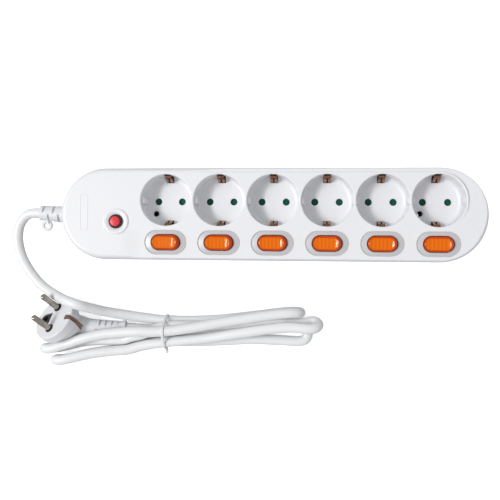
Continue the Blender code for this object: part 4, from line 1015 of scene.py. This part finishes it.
def build_tie(path):
    """A flat tie drawn round the bundle, with its two ends twisted together at the front."""
    plane_x, half_width, thickness, edge = mm(-84.5, 1.0, 0.7, 0.2)
    strands = []
    for a, b in zip(path, path[1:]):
        if (a.x - plane_x) * (b.x - plane_x) < 0 and a.y < -70 * MM:
            point = a.lerp(b, (plane_x - a.x) / (b.x - a.x))
            strands.append(Vector((point.y, point.z)))

    def hull(radius, x):
        loop = []
        for direction in directions(0, 360, 91)[:-1]:
            normal = Vector(direction)
            furthest = max(strands, key=normal.dot) + normal * radius
            loop.append((x, furthest.x, furthest.y))
        return loop

    inner = CABLE_RADIUS + GAP
    outer = inner + thickness
    near, far = plane_x - half_width, plane_x + half_width
    section = [(inner, near), (outer - edge, near), (outer, near + edge)]
    section += [(outer + 0.15 * MM, plane_x), (outer, far - edge), (outer - edge, far)]
    section.append((inner, far))
    tie = new_object("twist_tie_fine", [hoop([hull(radius, x) for radius, x in section])])

    front_y = min(point.x for point in strands) - inner
    start = Vector((plane_x, front_y - 0.45 * thickness, 9 * MM))
    along = Vector((0.35, -0.55, 0.75)).normalized()
    side = along.cross(Vector((1, 0, 0))).normalized()
    length, steps = 6 * MM, 32
    outline = rounded_rectangle(mm(-1.3, -0.7), mm(1.3, 0.7), 0.4 * MM)
    rings = []
    for step in range(steps + 1):
        angle = 2 * math.pi * step / steps
        across = side * math.cos(angle) + along.cross(side) * math.sin(angle)
        up = along.cross(across)
        centre = start + along * (length * step / steps)
        rings.append([centre + across * u + up * v for u, v in outline])
    join(tie, [rings])
    finish_piece(tie)


# ---- plug


def plug_matrix():
    """Local +Z is the direction of the pins, local X joins them, and local Y joins the clips."""
    direction = PLUG_PIN_DIRECTION.normalized()
    line = (PLUG_PIN_LINE - direction * PLUG_PIN_LINE.dot(direction)).normalized()
    clips = direction.cross(line)
    turned = Matrix((line, clips, direction)).transposed()
    return Matrix.Translation(PLUG_FACE) @ turned.to_4x4()


def bridge_face(gap, proud):
    """What shows of the pin bridge in the face of the plug: two collars and a rounded triangle."""
    low, top, radius = -4 * MM, 0.6 * MM + proud, 3.3 * MM + gap
    collars = [post(radius, 48, (side * PIN_OFFSET, 0), low, top) for side in (-1, 1)]
    triangle = arc((0, -9.6 * MM), 4.1 * MM + gap, 200, 340, 24)
    triangle += arc(mm(3.9, -4.6), 1.0 * MM + gap, 10, 90, 6)
    triangle += arc(mm(-3.9, -4.6), 1.0 * MM + gap, 90, 170, 6)
    return [*collars, prism(triangle, low, -0.8 * MM + proud * 2)]


def bridge_plate(gap):
    low, high = mm(-13, -13.2, -6), mm(13, 3.6, -3)
    return box([value - gap for value in low], [value + gap for value in high])


def smooth_body(body):
    """Melts the joined solids of the plug body into one soft moulded form."""
    remesh = body.modifiers.new("remesh", "REMESH")
    remesh.mode = "VOXEL"
    remesh.voxel_size = 0.5 * MM
    remesh.use_smooth_shade = True
    smooth = body.modifiers.new("smooth", "SMOOTH")
    smooth.factor = 0.5
    smooth.iterations = 8
    bake(body)


def build_plug_body():
    """A moulded body: round face, thick rim, tapered back and a handle with a slotted sleeve."""
    to_world = plug_matrix()
    # (depth behind the face, half width along the pins, half width across them) in mm
    sections = [(0.0, 18.0, 18.0), (0.15, 18.35, 18.35), (0.4, 18.65, 18.65), (0.8, 18.8, 18.8)]
    sections += [(8.0, 18.8, 18.8), (8.5, 18.5, 18.7), (9.2, 17.2, 18.0), (12.0, 14.8, 17.3)]
    sections += [(15.0, 12.2, 16.6), (18.0, 9.0, 15.0), (19.4, 6.6, 10.8)]
    rings, unit = [], circle(1.0, 96)
    for depth, along, across in sections:
        rings.append([(x * along * MM, y * across * MM, -depth * MM) for x, y in unit])
    body = new_object("plug_body_fine", [placed(to_world, rings)])

    course = [(-165.5, -90.8, 10.2), (-157, -90.5, 9.6), (-149, -91.1, 9.4), (-134, -91.5, 8.4)]
    handle = [point * MM for point in smooth_path([*course, SLEEVE_END], 6)]
    sizes = [(radius, 0, 0) for radius in (9.2, 8.6, 6.7, 5.8, 5.2)]
    radii = [point.x * MM for point in smooth_path(sizes, 6)]
    join(body, [tube(handle, radii, 48)])
    smooth_body(body)

    end = handle[-1]
    axis = (end - handle[-2]).normalized()
    start, bevel, small, large = end - axis * 2.6 * MM, axis * 0.3 * MM, 5.5 * MM, 5.9 * MM
    join(body, [tube([start, start + bevel, end - bevel, end], [small, large, large, small], 48)])

    trim = box(mm(-30, -30, -0.06), mm(30, 30, 5))
    for solids in ([trim], [bridge_plate(GAP)], bridge_face(GAP, 1 * MM)):
        cut(body, solids, to_world)
    # The groove that the earth strap lies in
    half = PLUG_CLIP_WIDTH / 2 + 0.7 * MM
    outline = [(-20.0, 1.0), (-15.0, 1.0), (-15.0, -16.2), (14.4, -16.2), (14.4, -1.6)]
    outline += [(12.2, -1.6), (12.2, 1.0), (20.0, 1.0), (20.0, -17.8), (-20.0, -17.8)]
    cut(body, [cross_prism(in_mm(outline), -half, half)], to_world)
    cut(body, [tube([end - axis * 10 * MM, end + axis * 3 * MM], BOOT_BORE, 32)])
    cut(body, sleeve_slots(handle, radii))
    finish_piece(body, angle=38)


def sleeve_slots(handle, radii):
    """Slots in all four quarters of the sleeve, in two staggered sets."""
    slots = []
    for index in range(8):
        x = (-141.0 + 2.45 * index) * MM
        centre, radius = next((p, r) for p, r in zip(handle, radii) if p.x >= x)
        place, depth = Matrix.Translation((x, centre.y, centre.z)), radius - 1.7 * MM
        for lean in (-52, 128) if index % 2 else (48, 228):
            slots.append(side_slot(place, lean, 0.85 * MM, max(depth, 4.75 * MM)))
    return slots


def build_pin_bridge():
    """The dark insert that holds the pins, with the hole for the earth pin of a socket."""
    bridge = new_object("plug_pin_bridge_fine", [bridge_plate(0.0)])
    join(bridge, bridge_face(0.0, 0.0))
    bore = PIN_RADIUS + GAP
    holes = [post(bore, 40, (side * PIN_OFFSET, 0), -7 * MM, 2 * MM) for side in (-1, 1)]
    profile = in_mm([(-7, 2.6), (-1.1, 2.6), (0.9, 3.4)])
    cut(bridge, [*holes, column(profile, 40, (0, -10 * MM))])
    bridge.data.transform(plug_matrix())
    finish_piece(bridge)


def build_plug_pins():
    start, rounding = PIN_LENGTH - PIN_TIP, directions(12, 84, 9)
    profile = [(-5.6 * MM, PIN_RADIUS), (start, PIN_RADIUS)]
    for cos, sin in rounding:
        profile.append((start + PIN_TIP * sin / rounding[-1][1], PIN_RADIUS * cos**0.8))
    for name, side in (("plug_pin_live", -1), ("plug_pin_neutral", 1)):
        place = plug_matrix() @ Matrix.Translation((side * PIN_OFFSET, 0, 0))
        pin = new_object(f"{name}_fine", [column(profile, 40)], place)
        finish_piece(pin, angle=40)


def build_plug_earth_contact():
    """The bronze strap whose ends are the side clips."""
    leg = [(16.4, -4.0), (16.1, -8.0), (15.7, -12.0), (15.6, -17.0)]
    right = [(12.9, -0.9), (13.7, -0.65), (14.6, -0.6), (15.6, -0.95), (16.4, -1.8), *leg]
    left = [(-y, z) for y, z in [(15.7, -0.9), (16.5, -1.8), *leg][::-1]]
    solid = strip(in_mm(right + left), PLUG_CLIP_THICKNESS, PLUG_CLIP_WIDTH)
    strap = new_object("plug_earth_contact_fine", [solid], plug_matrix())
    finish_piece(strap)


# ---- stage


def build_floor():
    """A plain floor that looks near white to the camera and lights the strip less than that."""
    half = 2.5
    mesh = bpy.data.meshes.new("floor")
    mesh.from_pydata(level(rectangle((-half, -half), (half, half)), 0.0), [], [range(4)])
    floor = link_object("floor", mesh)
    material, shader = new_material("floor")
    feed(material, shader, Base_Color=(0.96, 0.96, 0.96, 1.0), Roughness=0.8)
    feed(material, shader, Emission_Color=(1.0, 1.0, 1.0, 1.0), Emission_Strength=0.6)
    dim = add_node(material, "BsdfDiffuse", Color=(0.5, 0.5, 0.5, 1.0))
    seen = add_node(material, "LightPath")
    blend = add_node(material, "MixShader", Fac=seen.outputs["Is Camera Ray"])
    links = material.node_tree.links
    links.new(dim.outputs["BSDF"], blend.inputs[1])
    links.new(shader.outputs["BSDF"], blend.inputs[2])
    output = material.node_tree.nodes["Material Output"]
    feed(material, output, Surface=blend.outputs["Shader"])
    floor.data.materials.append(material)


def aim(obj, target):
    direction = Vector(target) - obj.location
    obj.rotation_euler = direction.to_track_quat("-Z", "Y").to_euler()


def add_area_light(name, direction, distance, size, power):
    """A soft rectangular light, size metres across and along, that shines at the strip."""
    light = bpy.data.lights.new(name, "AREA")
    light.shape = "RECTANGLE"
    light.size, light.size_y = size
    light.energy = power
    obj = link_object(name, light)
    obj.location = Vector(direction).normalized() * distance
    aim(obj, (0.0, -0.03, 0.0))
    return obj


def build_lights():
    """Even light from all round, a key light for the shades, and a glint for the highlights."""
    world = bpy.data.worlds.new("studio")
    world.use_nodes = True
    background = world.node_tree.nodes["Background"]
    feed(world, background, Color=(1.0, 1.0, 1.0, 1.0), Strength=0.57)
    bpy.context.scene.world = world
    key = add_area_light("key", (-0.55, -0.03, 0.85), 3.4, (1.4, 0.6), 65.0)
    key.visible_glossy = False
    glint = add_area_light("glint", (-0.70, -0.10, 0.78), 2.6, (0.9, 0.42), 52.0)
    glint.visible_diffuse = False


def build_camera():
    """Looks almost straight down, from a little to the right of and in front of the middle."""
    camera = bpy.data.cameras.new("camera")
    camera.lens = 48.96
    camera.sensor_width = 36.0
    obj = link_object("camera", camera)
    obj.location = (0.0335, -0.0330, 0.5538)
    obj.rotation_mode = "ZYX"
    obj.rotation_euler = [math.radians(angle) for angle in (0.609, 5.285, 0.497)]
    bpy.context.scene.camera = obj
    bpy.context.scene.view_settings.view_transform = "Standard"


paint_cad_nodes()
build_top_cover()
build_base()
build_screws()
build_earth_busbar()
build_bezels()
build_rockers()
build_lamps()
build_breaker()
build_reset_button()
build_boot()
build_tie(build_cable())
build_plug_body()
build_pin_bridge()
build_plug_pins()
build_plug_earth_contact()
build_floor()
build_lights()
build_camera()
